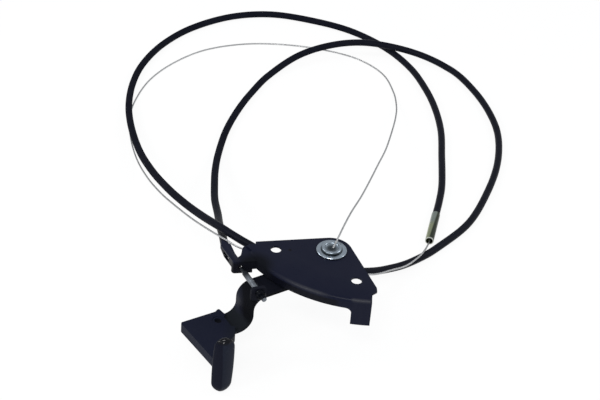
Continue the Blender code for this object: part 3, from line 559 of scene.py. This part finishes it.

# %% [markdown]
# The bracket's paint is dull in the corner beside the anchor, and that corner is darkened as painted
# shade. The left part of the flange under the fold is darkened as painted shade too. Spots are masked by
# their distance from a point, and the flange by its depth under the plate.

# %% The bracket's dull corner, and its painted shade
BRACKET_PAINT = copy_of(BLACK_PAINT, "black_primer_bracket")
tree, shader = parts_of(BRACKET_PAINT)
# Painted shade: the corner beside the anchor is darkened, and made dull.
corner = spot_mask(tree, (-47 * MM, 5 * MM, -6 * MM), 10 * MM, 18 * MM)
mix_in(tree, shader["Roughness"], MATT, corner)
mix_in(tree, shader["Base Color"], (0.003, 0.0036, 0.006), corner)
# Painted shade: the left part of the flange under the fold is darkened.
flange_shade = math_node(tree, "MULTIPLY", slope_mask(tree, (0, 0, -1), 2.6 * MM, 3.6 * MM),
                   slope_mask(tree, (-1, 0, 0), -12 * MM, -8 * MM))
mix_in(tree, shader["Base Color"], (0.0034, 0.0038, 0.0072), flange_shade)
print("bracket:", len(tree.nodes), "nodes")

# %% [markdown]
# The crest of the fold carries a painted highlight, and so does the short fold of the tab. The fold
# follows an arc, so its crest is all that lies between two distances from the arc's centre. The grain
# breaks the painted highlight up. A small press mark in the plate, to the right of the left hole, is the
# darkest place.

# %% The painted highlight on the crest of the fold, and the press mark
FOLD_CENTRE = (52.9 * MM, 61 * MM, 0)
FLAT = (1, 1, 0)
crest = math_node(tree, "SUBTRACT", spot_mask(tree, FOLD_CENTRE, 109.4 * MM, 110 * MM, FLAT),
                  spot_mask(tree, FOLD_CENTRE, 107.2 * MM, 108.6 * MM, FLAT))
long_fold = math_node(tree, "MULTIPLY", slope_mask(tree, (1, 0, 0), -34 * MM, -12 * MM),
                      slope_mask(tree, (-1, 0, 0), -5 * MM, 4 * MM))
tab_fold = math_node(tree, "MULTIPLY", slope_mask(tree, (1, 0, 0), 19 * MM, 21 * MM),
                     slope_mask(tree, (-1, 0, 0), -35 * MM, -33 * MM))
# Painted highlight: the crests of the long fold and of the tab's fold are lightened.
painted_fold_highlight = math_node(tree, "MULTIPLY", crest, math_node(tree, "ADD", long_fold, tab_fold))
grainy = math_node(tree, "MULTIPLY_ADD", tree.nodes["break-up"].outputs["Height"], 1.2, 0.1)
mix_in(tree, shader["Base Color"], (0.036, 0.037, 0.044), math_node(tree, "MULTIPLY", painted_fold_highlight, grainy))
press_mark = spot_mask(tree, (-17 * MM, 19.7 * MM, 0), 0.6 * MM, 1.8 * MM)
mix_in(tree, shader["Base Color"], (0.002, 0.0025, 0.004), press_mark)
print("bracket with its rub:", len(tree.nodes), "nodes")

# %% [markdown]
# On the lever the paint is dull in the hollow of the double bend, where it is also darkened as painted
# shade, thin and greenish at the foot, and dark on the ear that holds the cable. One spot below the bend
# carries a painted glint.

# %% The lever's painted shade and glint, and its dull and thin places
LEVER_PAINT = copy_of(BLACK_PAINT, "black_primer_lever")
tree, shader = parts_of(LEVER_PAINT)
# Painted shade: the hollow of the bend is darkened, and made dull.
dull_shaded_bend = math_node(tree, "MULTIPLY", slope_mask(tree, (1, 0, 0), -60.7 * MM, -56.8 * MM),
                 slope_mask(tree, (0, 0, -1), 9 * MM, 12.5 * MM))
foot = slope_mask(tree, (0, 0, -1), 32.5 * MM, 35.5 * MM)
# Painted glint: a lightened spot below the bend.
painted_glint = spot_mask(tree, (-59 * MM, -26 * MM, -34 * MM), 0.8 * MM, 3.2 * MM)
ear = spot_mask(tree, (-47.6 * MM, -21 * MM, -6 * MM), 8 * MM, 9.5 * MM)
for mask, colour in ((dull_shaded_bend, (0.0018, 0.0022, 0.0038)), (foot, (0.0068, 0.0084, 0.0112)),
                     (painted_glint, (0.04, 0.043, 0.048)), (ear, (0.0038, 0.0045, 0.0092))):
    mix_in(tree, shader["Base Color"], colour, mask)
for mask, roughness in ((dull_shaded_bend, MATT), (foot, MATT), (ear, 0.7)):
    mix_in(tree, shader["Roughness"], roughness, mask)
shader["Specular IOR Level"].default_value = 0.085
print("lever:", len(tree.nodes), "nodes")

# %% [markdown]
# The nipple behind the lever's ear and the cap in the anchor are black too, but lie in the shade of the
# sheet around them. Theirs is the darkest paint, as painted shade.

# %% The dark paint of the cable's ends
SHADED_PAINT = copy_of(BLACK_PAINT, "black_primer_nipple")
tree, shader = parts_of(SHADED_PAINT)
# Painted shade: the darkest colours, for the nipple and the cap.
tree.nodes["break-up"].inputs["Main Colour"].default_value = (0.002, 0.0026, 0.0045, 1)
tree.nodes["break-up"].inputs["Second Colour"].default_value = (0.004, 0.0048, 0.008, 1)
shader["Specular IOR Level"].default_value = 0.04
print("shaded paint:", SHADED_PAINT.name)

# %% [markdown]
# The rivet, its washers and the crimped parts are bright zinc, a cool grey metal with a slight blue cast.
# The far ferrule is zinc too, but with the older yellow passivation, which runs from grey to olive. The
# inner wire is galvanised strand. Metals take their look from what they mirror, so the colours are those of
# the metal at full metallic, and the roughness sets how far the mirror blurs.

# %% Metal finishes
BRIGHT_ZINC = finish_material(
    "bright_zinc", (0.33, 0.385, 0.44), (0.22, 0.26, 0.3), blotch=220.0, share=0.7, grain=3000.0, bump=0.25,
    depth=0.00003, rough=(0.2, 0.36), metallic=1.0)
YELLOW_ZINC = finish_material(
    "yellow_zinc", (0.25, 0.285, 0.255), (0.21, 0.245, 0.225), blotch=260.0, share=0.9, grain=2500.0,
    bump=0.3, depth=0.00003, rough=(0.25, 0.42), metallic=1.0)
STRAND_STEEL = finish_material(
    "wire_strand", (0.45, 0.455, 0.46), (0.28, 0.285, 0.29), blotch=400.0, share=0.7, grain=4000.0, bump=0.2,
    depth=0.00002, rough=(0.3, 0.45), metallic=1.0)
SATIN_ZINC = finish_material(
    "satin_zinc", (0.2, 0.22, 0.245), (0.07, 0.08, 0.095), blotch=160.0, share=0.8, grain=2200.0, bump=0.4,
    depth=0.00004, rough=(0.36, 0.52), metallic=1.0)
print("metals:", BRIGHT_ZINC.name, YELLOW_ZINC.name, STRAND_STEEL.name, SATIN_ZINC.name)

# %% [markdown]
# The crimped sleeve carries painted shade where the cable comes out of the anchor, and none farther down.
# The mask rises along the cable, measured from the anchor.

# %% Painted shade on the sleeve
LIT_FROM = 17 * MM
SHADED_TO = 11 * MM
tree, shader = parts_of(SATIN_ZINC)
anchor_along = CABLE_DIRECTION.dot(ANCHOR)
# Painted shade: the sleeve is darkened near the anchor.
mix_in(tree, shader["Base Color"], (0.02, 0.023, 0.028),
       slope_mask(tree, CABLE_DIRECTION, anchor_along - LIT_FROM, anchor_along - SHADED_TO))
print("sleeve: grease to", round(SHADED_TO / MM), "mm from the anchor")

# %% [markdown]
# The ferrule is grey where it is crimped on the sheath, olive towards its mouth, and darkened along one
# side as painted shade. The rim of the mouth carries a painted highlight. Two masks along the ferrule's
# own axis and one across it draw these zones, laid one over the other.

# %% Passivation, painted shade and painted highlight on the ferrule
tree, shader = parts_of(YELLOW_ZINC)
mouth_along = heading.dot(ferrule_mouth)
mix_in(tree, shader["Base Color"], (0.285, 0.315, 0.2),
       slope_mask(tree, heading, mouth_along - 26 * MM, mouth_along - 20 * MM))
# Painted shade: one side of the ferrule is darkened.
shade_side = (Vector((0, 0, 1)).cross(heading) + heading * 0.05).normalized()
shade_edge = shade_side.dot(ferrule_mouth) - 1.2 * MM
mix_in(tree, shader["Base Color"], (0.04, 0.048, 0.033),
       slope_mask(tree, shade_side, shade_edge, shade_edge + 1.1 * MM))
# Painted highlight: the rim of the mouth is lightened.
mix_in(tree, shader["Base Color"], (0.5, 0.52, 0.47),
       slope_mask(tree, heading, mouth_along - 1.3 * MM, mouth_along - 0.8 * MM))
print("ferrule:", len(tree.nodes), "nodes")

# %% [markdown]
# The bowl of the pivot's rivet and the place where its ring meets the washer are darkened as painted
# shade. Both are round marks about the rivet's axis, the second a ring made from two spots, one taken from
# the other.

# %% Painted shade round the rivet
tree, shader = parts_of(BRIGHT_ZINC)
rivet_centre = (15.3 * MM, 16 * MM, 3 * MM)
FLATTENED = (1, 1, 0.2)
# Painted shade in the bowl of the rivet.
mix_in(tree, shader["Base Color"], (0.05, 0.06, 0.068),
       spot_mask(tree, rivet_centre, 2.8 * MM, 5.8 * MM, FLATTENED))
# Painted shade in a ring where the head meets the washer.
ring = math_node(tree, "SUBTRACT", spot_mask(tree, rivet_centre, 8.3 * MM, 9 * MM, FLATTENED),
                 spot_mask(tree, rivet_centre, 7.4 * MM, 8 * MM, FLATTENED))
mix_in(tree, shader["Base Color"], (0.07, 0.085, 0.095), ring)
print("bright zinc:", len(tree.nodes), "nodes")

# %% [markdown]
# The wire is a strand of eight lobes with a lay of 10 mm, fine enough to read as a twist of light and dark
# from close by. The sheath needs no lobes, and twenty sides are round enough at its size.

# %% Lay the two cords
PLAIN = {"Radius": 1.0, "Strands": 1.0, "Valley depth": 0.0, "Lay length": 1.0}
WIRE_SIZES = {"radius": WIRE_RADIUS, "strands": 8.0, "valley_depth": 0.1, "lay_length": 10 * MM}
SHEATH_TREE = cord_tree("round cord", 20, PLAIN)
WIRE_TREE = cord_tree("cord section", 48, PLAIN)
sheath = make_cord("sheath", sheath_line, SHEATH_TREE, SHEATH_VINYL, radius=SHEATH_RADIUS)
free_wire = make_cord("free_wire", wire_line, WIRE_TREE, STRAND_STEEL, **WIRE_SIZES)

# %% [markdown]
# In front of the anchor the lever draws the inner wire out of the sheath. Its visible piece reaches from
# the hole in the anchor to deep inside the crimped sleeve.

# %% The drawn stretch of wire
NEAR_START = 1.5 * MM
NEAR_END = -29 * MM
NEAR_STEP = 0.5 * MM
near_count = round((NEAR_START - NEAR_END) / NEAR_STEP) + 1
near_line = [ANCHOR + CABLE_DIRECTION * (NEAR_START - NEAR_STEP * i) for i in range(near_count)]
near_wire = make_cord("near_wire", near_line, WIRE_TREE, STRAND_STEEL, **WIRE_SIZES)

# %% [markdown]
# Real sheet edges and moulded corners are never quite sharp: each catches a thin line of light. A merged
# copy of each solid gets a small bevel on its sharp edges, and stands in for the solid.

# %% A softened copy of a solid
SHARP = math.radians(32)
SAME_PLANE = math.radians(0.6)


def body_of(node):
    """The body that a node moves with."""
    return next(name for name, members in frame["record"]["behaviour"]["bodies"].items() if node in members)


def softened(node, finish, width, segments=2, cutter=None):
    """A copy of a node's mesh with its loose triangles merged and its sharp edges rounded."""
    mesh = frame["nodes"][node].data.copy()
    bm = bmesh.new()
    bm.from_mesh(mesh)
    bmesh.ops.remove_doubles(bm, verts=bm.verts, dist=0.01 * MM)
    bmesh.ops.dissolve_limit(bm, angle_limit=SAME_PLANE, verts=bm.verts, edges=bm.edges)
    bm.to_mesh(mesh)
    bm.free()
    mesh.materials.clear()
    mesh.materials.append(finish)
    mesh.shade_smooth()
    mesh.set_sharp_from_angle(angle=SHARP)
    holder = link_object(node + "_copy", mesh)
    if cutter:
        cut = holder.modifiers.new("cut", "BOOLEAN")
        cut.object = cutter
        cut.solver = "EXACT"
    rounding = holder.modifiers.new("edges", "BEVEL")
    rounding.width = width
    rounding.segments = segments
    rounding.limit_method = "ANGLE"
    rounding.angle_limit = SHARP
    rounding.harden_normals = True
    made = keep_result(holder, node + "_finished")
    if cutter:
        bpy.data.objects.remove(cutter, do_unlink=True)
    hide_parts(node)
    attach(made, body_of(node))
    print(made.name, len(made.data.polygons), "faces")
    return made


# %% [markdown]
# The anchor's wall has a slot beside the cable. The measured solid has a small one, and the photograph
# shows daylight through it, so a box along the cable opens it a little more before the edges are rounded.

# %% The bracket, with its slot
SLOT_SIZE = Vector((3, 7.8, 4.6)) * MM
SLOT_WALL = Vector((-62.76, 10.3, -5.6)) * MM
SLOT_ALONG = 13.5 * MM
cable_turn = math.atan2(-CABLE_DIRECTION.x, CABLE_DIRECTION.y)
bm = bmesh.new()
bmesh.ops.create_cube(bm, size=1, matrix=Matrix.Diagonal((*SLOT_SIZE, 1)))
slot_place = Matrix.Translation(SLOT_WALL + CABLE_DIRECTION * SLOT_ALONG)
bm.transform(slot_place @ Matrix.Rotation(cable_turn, 4, "Z"))
slot_mesh = bpy.data.meshes.new("slot")
bm.to_mesh(slot_mesh)
bm.free()
softened("bracket_plate", BRACKET_PAINT, 0.3 * MM, cutter=link_object("slot", slot_mesh))

# %% [markdown]
# The other stamped, moulded and plated pieces need only their edges. A moulding is rounder than a stamping,
# and the thin top washer has the smallest radius. The nipple's tail is bare metal at its cut end, so the
# faces there get a second finish.

# %% The other stamped, moulded and plated pieces
softened("lever_arm", LEVER_PAINT, 0.15 * MM)
softened("handle_body", HANDLE_PLASTIC, 0.6 * MM, 3)
softened("pivot_washer", BRIGHT_ZINC, 0.08 * MM)
softened("pivot_spacer", BRIGHT_ZINC, 0.15 * MM)
softened("lower_washer", BRIGHT_ZINC, 0.15 * MM)
softened("crimp_sleeve", SATIN_ZINC, 0.15 * MM)
nipple = softened("end_nipple", SHADED_PAINT, 0.15 * MM)
nipple.data.materials.append(SATIN_ZINC)
reaches = [(face.center - ANCHOR).dot(-CABLE_DIRECTION) for face in nipple.data.polygons]
for face, reach in zip(nipple.data.polygons, reaches):
    if reach > max(reaches) - 0.05 * MM:
        face.material_index = 1
ferrule = softened("far_ferrule", YELLOW_ZINC, 0.15 * MM)

# %% [markdown]
# The pivot rivet is a rolled head: a fat ring round a bowl, where the wire's bare end rests. The handle's
# rivet is sunk flush, and only the dimple of its punch shows. Both are a profile turned round an axis, so
# one helper spins them: the points give radius and height, and an arc of points makes a rolled edge that
# catches light softly.

# %% A profile turned round an axis
TURNED_SHARP = math.radians(40)


def arc(radius, height, size, start, end, steps=8):
    """Profile points on a quarter or half circle, angles in degrees."""
    angles = (math.radians(start + (end - start) * i / steps) for i in range(steps + 1))
    return [(radius + size * math.cos(a), height + size * math.sin(a)) for a in angles]


def turned(node, place, profile, finish, steps=72):
    """A solid of revolution, in metres, that stands in for a node: its axis is the place's own Z."""
    bm = bmesh.new()
    angles = [2 * math.pi * i / steps for i in range(steps)]
    rings = []
    for radius, height in profile:
        ring = [Vector((radius * math.cos(a), radius * math.sin(a), height)) for a in angles]
        rings.append([bm.verts.new(place @ corner) for corner in ring])
    for low, high in zip(rings, rings[1:]):
        for i in range(steps):
            bm.faces.new((low[i], low[(i + 1) % steps], high[(i + 1) % steps], high[i]))
    bmesh.ops.remove_doubles(bm, verts=bm.verts, dist=0.001 * MM)
    bmesh.ops.recalc_face_normals(bm, faces=bm.faces)
    mesh = bpy.data.meshes.new(node + "_turned")
    bm.to_mesh(mesh)
    bm.free()
    mesh.materials.append(finish)
    mesh.shade_smooth()
    mesh.set_sharp_from_angle(angle=TURNED_SHARP)
    made = link_object(node + "_turned", mesh)
    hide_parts(node)
    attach(made, body_of(node))
    print(made.name, len(mesh.polygons), "faces")


# %% [markdown]
# The pivot's rivet from the top: the bowl, the rolled ring as two arcs, the straight shank, and a rounded
# lower head. Its ends come from the measured solid's box, and the radii repeat the measured ones.

# %% The pivot's rivet
HEAD_RADIUS = 8.2 * MM
HEAD_THICKNESS = 2.0 * MM
OUTER_ROLL = 1.7 * MM
INNER_ROLL = 1.2 * MM
SHANK_RADIUS = 5.0 * MM
LOWER_RADIUS = 7.5 * MM
LOWER_THICKNESS = 1.8 * MM
LOWER_ROLL = 1.5 * MM
BOWL = [(0, -2.7), (0.8, -2.5), (1.5, -1.95), (2.2, -1.66), (3.3, -1.6), (4.2, -1.35), (4.9, -0.9)]

low, high = (Vector(corner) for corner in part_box("pivot_rivet"))
pivot = (low + high) / 2
seat = high.z - HEAD_THICKNESS
lower_seat = low.z + LOWER_THICKNESS
ring_radius = HEAD_RADIUS - OUTER_ROLL
profile = [(radius * MM, high.z + height * MM) for radius, height in BOWL]
profile += arc(ring_radius - 0.2 * MM, high.z - INNER_ROLL, INNER_ROLL, 160, 90)
profile += arc(ring_radius, high.z - OUTER_ROLL, OUTER_ROLL, 90, 0)
profile += [(HEAD_RADIUS, seat + 0.1 * MM), (HEAD_RADIUS - 0.2 * MM, seat)]
profile += [(SHANK_RADIUS, seat), (SHANK_RADIUS, lower_seat)]
profile += [(LOWER_RADIUS - 0.1 * MM, lower_seat), (LOWER_RADIUS, lower_seat - 0.1 * MM)]
profile += arc(LOWER_RADIUS - LOWER_ROLL, low.z + LOWER_ROLL, LOWER_ROLL, 0, -90) + [(0, low.z)]
turned("pivot_rivet", Matrix.Translation((pivot.x, pivot.y, 0)), profile, BRIGHT_ZINC)

# %% [markdown]
# The handle's rivet fills its sunk place flush, and a dimple of 5.8 mm is all that tells it from the
# moulding. The dimple lies in shade, and a spot on its finish keeps it dark.

# %% The handle's rivet
SUNK_RADIUS = 4.54 * MM
SUNK_DEPTH = 0.95 * MM
DIMPLE_RADIUS = 2.9 * MM
DIMPLE_EDGE = 0.5 * MM
STEM_RADIUS = 2.6 * MM
BUTTON_RADIUS = 4.25 * MM
BUTTON_ROLL = 1.35 * MM

low, high = (Vector(corner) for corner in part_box("handle_rivet"))
axis = (low + high) / 2
profile = [(0, high.z - 1.0 * MM), (DIMPLE_RADIUS - DIMPLE_EDGE, high.z - 0.9 * MM)]
profile += [(DIMPLE_RADIUS, high.z - DIMPLE_EDGE), (DIMPLE_RADIUS + 0.05 * MM, high.z)]
profile += [(SUNK_RADIUS - 0.1 * MM, high.z), (SUNK_RADIUS, high.z - 0.1 * MM)]
profile += [(SUNK_RADIUS, high.z - SUNK_DEPTH), (STEM_RADIUS, high.z - SUNK_DEPTH)]
profile += [(STEM_RADIUS, low.z + BUTTON_ROLL + 0.05 * MM), (BUTTON_RADIUS, low.z + BUTTON_ROLL + 0.05 * MM)]
profile += arc(BUTTON_RADIUS - BUTTON_ROLL, low.z + BUTTON_ROLL, BUTTON_ROLL, 0, -90) + [(0, low.z)]
tree, shader = parts_of(RIVET_PLASTIC)
mix_in(tree, shader["Base Color"], (0.0022, 0.0026, 0.0045),
       spot_mask(tree, (axis.x, axis.y, 0), DIMPLE_RADIUS - DIMPLE_EDGE, DIMPLE_RADIUS, FLAT))
turned("handle_rivet", Matrix.Translation((axis.x, axis.y, 0)), profile, RIVET_PLASTIC)

# %% [markdown]
# The cap that ends the sheath is turned along the cable. Two collars fit the anchor and the sheath, and the
# waist between them leaves the slot in the anchor's wall open to the light.

# %% The sheath's end cap
COLLAR_RADIUS = 3.4 * MM
WAIST_RADIUS = 2.5 * MM
BORE_RADIUS = 1.3 * MM
BORE_DEPTH = 8 * MM

along_cable = Matrix.Translation(ANCHOR) @ CABLE_DIRECTION.to_track_quat("Z", "X").to_matrix().to_4x4()
profile = [(0, CAP_START + BORE_DEPTH), (BORE_RADIUS, CAP_START + BORE_DEPTH), (BORE_RADIUS, CAP_START)]
profile += [(COLLAR_RADIUS - 0.5 * MM, CAP_START), (COLLAR_RADIUS, CAP_START + 0.5 * MM)]
profile += [(COLLAR_RADIUS, CAP_START + 2.2 * MM), (WAIST_RADIUS, CAP_START + 3.2 * MM)]
profile += [(WAIST_RADIUS, CAP_END - 1.8 * MM), (COLLAR_RADIUS, CAP_END - 1.2 * MM)]
profile += [(COLLAR_RADIUS, CAP_END - 0.3 * MM), (COLLAR_RADIUS - 0.3 * MM, CAP_END), (0, CAP_END)]
turned("near_end_cap", along_cable, profile, SHADED_PAINT)

# %% [markdown]
# The finger grip is an upright oval with a blunt ridge down its front, a little to the left of the middle.
# It starts as a sphere whose points are moved: stretched to a pill, pinched towards both ends, and drawn
# out along the ridge. The shares below say how much it is pinched, how far the ridge and the edges stand
# out, and how flat the back is.

# %% The finger grip
GRIP_HEIGHT = 52.2 * MM
GRIP_WIDTH = 16.4 * MM
GRIP_THICKNESS = 9.0 * MM
GRIP_PLACE = Vector((-79.32, -62.14)) * MM
GRIP_TURN = math.radians(182)
GRIP_LEAN = math.radians(1.6)
BARREL = 0.12
RIDGE_AT = math.cos(math.radians(80))
RIDGE = 1.3
EDGE = 0.68
BACK = 0.72

low, high = (Vector(corner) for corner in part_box("finger_grip"))
bm = bmesh.new()
bmesh.ops.create_uvsphere(bm, u_segments=72, v_segments=48, radius=1)
for vert in bm.verts:
    x, y, z = vert.co
    ring = max(math.hypot(x, y), 1e-6)
    over = max(0.0, (abs(z) - 1) * GRIP_HEIGHT / GRIP_WIDTH + 1)
    wide = math.sqrt(1 - over**2) * (1 - BARREL * z**2) / ring
    x *= wide
    y *= wide
    beside = (x - RIDGE_AT) / (1 - RIDGE_AT) if x > RIDGE_AT else (RIDGE_AT - x) / (1 + RIDGE_AT)
    front = RIDGE - (RIDGE - EDGE) * min(1.0, beside)
    vert.co = (x * GRIP_WIDTH / 2, y * GRIP_THICKNESS / 2 * (front if y > 0 else BACK), z * GRIP_HEIGHT / 2)
turn = Matrix.Rotation(GRIP_TURN, 4, "Z") @ Matrix.Rotation(-GRIP_LEAN, 4, "Y")
bm.transform(Matrix.Translation((*GRIP_PLACE, (low.z + high.z) / 2)) @ turn)
bmesh.ops.recalc_face_normals(bm, faces=bm.faces)
mesh = bpy.data.meshes.new("finger_grip_moulded")
bm.to_mesh(mesh)
bm.free()
mesh.materials.append(GRIP_PLASTIC)
mesh.shade_smooth()
grip = link_object("finger_grip_moulded", mesh)
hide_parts("finger_grip")
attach(grip, body_of("finger_grip"))
corners = [[round(value / MM, 2) for value in grip.bound_box[i]] for i in (0, 6)]
print("grip:", corners, "frame:", low / MM, high / MM)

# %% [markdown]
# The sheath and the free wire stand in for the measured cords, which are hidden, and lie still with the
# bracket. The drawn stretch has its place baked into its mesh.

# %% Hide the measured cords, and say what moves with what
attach(sheath, "bracket")
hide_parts("outer_sheath")
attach(free_wire, "bracket")
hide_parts("inner_wire_free")
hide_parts("inner_wire_near")
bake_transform(near_wire)
print("cords:", sheath.name, free_wire.name, near_wire.name)

# %% [markdown]
# The picture has a plain white ground. The floor is white paper that also glows a little, but only to the
# camera and in reflections, so that it looks white behind the part without throwing more light on it. The
# shadow stays.

# %% Floor
SIDE = 6
PAPER_WHITE = 0.93
floor_mesh = bpy.data.meshes.new("floor")
corners = [(-SIDE, -SIDE), (SIDE, -SIDE), (SIDE, SIDE), (-SIDE, SIDE)]
floor_mesh.from_pydata([(x, y, SURFACE_Z) for x, y in corners], [], [(0, 1, 2, 3)])
floor = link_object("floor", floor_mesh)
paper = bpy.data.materials.new("white_paper")
paper.use_nodes = True
tree, shader = parts_of(paper)
shader["Base Color"].default_value = (PAPER_WHITE, PAPER_WHITE, PAPER_WHITE, 1)
shader["Roughness"].default_value = 0.9
shader["Specular IOR Level"].default_value = 0.0
floor_mesh.materials.append(paper)
print("floor at", round(SURFACE_Z / MM, 2), "mm")

# %% Its glow, for the camera and for reflections
GLOW = 0.9
glow = shader_node(tree, "ShaderNodeEmission", Color=(1, 1, 1, 1), Strength=1.0)
rays = tree.nodes.new("ShaderNodeLightPath")
watched = math_node(tree, "MAXIMUM", rays.outputs["Is Camera Ray"], rays.outputs["Is Glossy Ray"])
both = tree.nodes.new("ShaderNodeMixShader")
tree.links.new(math_node(tree, "MULTIPLY", watched, GLOW), both.inputs[0])
tree.links.new(tree.nodes["Principled BSDF"].outputs[0], both.inputs[1])
tree.links.new(glow.outputs[0], both.inputs[2])
tree.links.new(both.outputs[0], tree.nodes["Material Output"].inputs["Surface"])
print("paper:", len(tree.nodes), "nodes")

# %% [markdown]
# The light is that of a plain studio: a soft even sky and four softboxes, one in front, two on the left and
# one on the right. Black parts show their form only by what they mirror, so the lamps are large and stand
# on several sides, each for a soft highlight along some edges.

# %% Sky and lamps
world = bpy.data.worlds.new("studio")
bpy.context.scene.world = world
world.use_nodes = True
world.node_tree.nodes["Background"].inputs["Color"].default_value = (0.95, 0.97, 1.0, 1)
world.node_tree.nodes["Background"].inputs["Strength"].default_value = 0.7


def softbox(name, place, target, size, power):
    """A rectangular lamp that looks at a point."""
    lamp = bpy.data.objects.new(name, bpy.data.lights.new(name, "AREA"))
    bpy.context.scene.collection.objects.link(lamp)
    lamp.data.shape = "RECTANGLE"
    lamp.data.size, lamp.data.size_y = size
    lamp.data.energy = power
    lamp.location = place
    lamp.rotation_euler = (Vector(target) - Vector(place)).to_track_quat("-Z", "Y").to_euler()
    print("lamp", name, power, "W")


softbox("front", (-0.35, -0.85, 1.15), (0, 0, 0), (0.5, 0.25), 8)
softbox("left", (-1.2, 0.5, 0.9), (0, 0, 0), (0.4, 0.4), 4)
softbox("front left", (-1.2, -0.62, 0.85), (0, 0, 0), (0.35, 0.35), 5)
softbox("right", (1.3, 0.1, 1.0), (0, 0.1, 0), (0.6, 0.6), 5)
bpy.context.scene.view_settings.view_transform = "Standard"
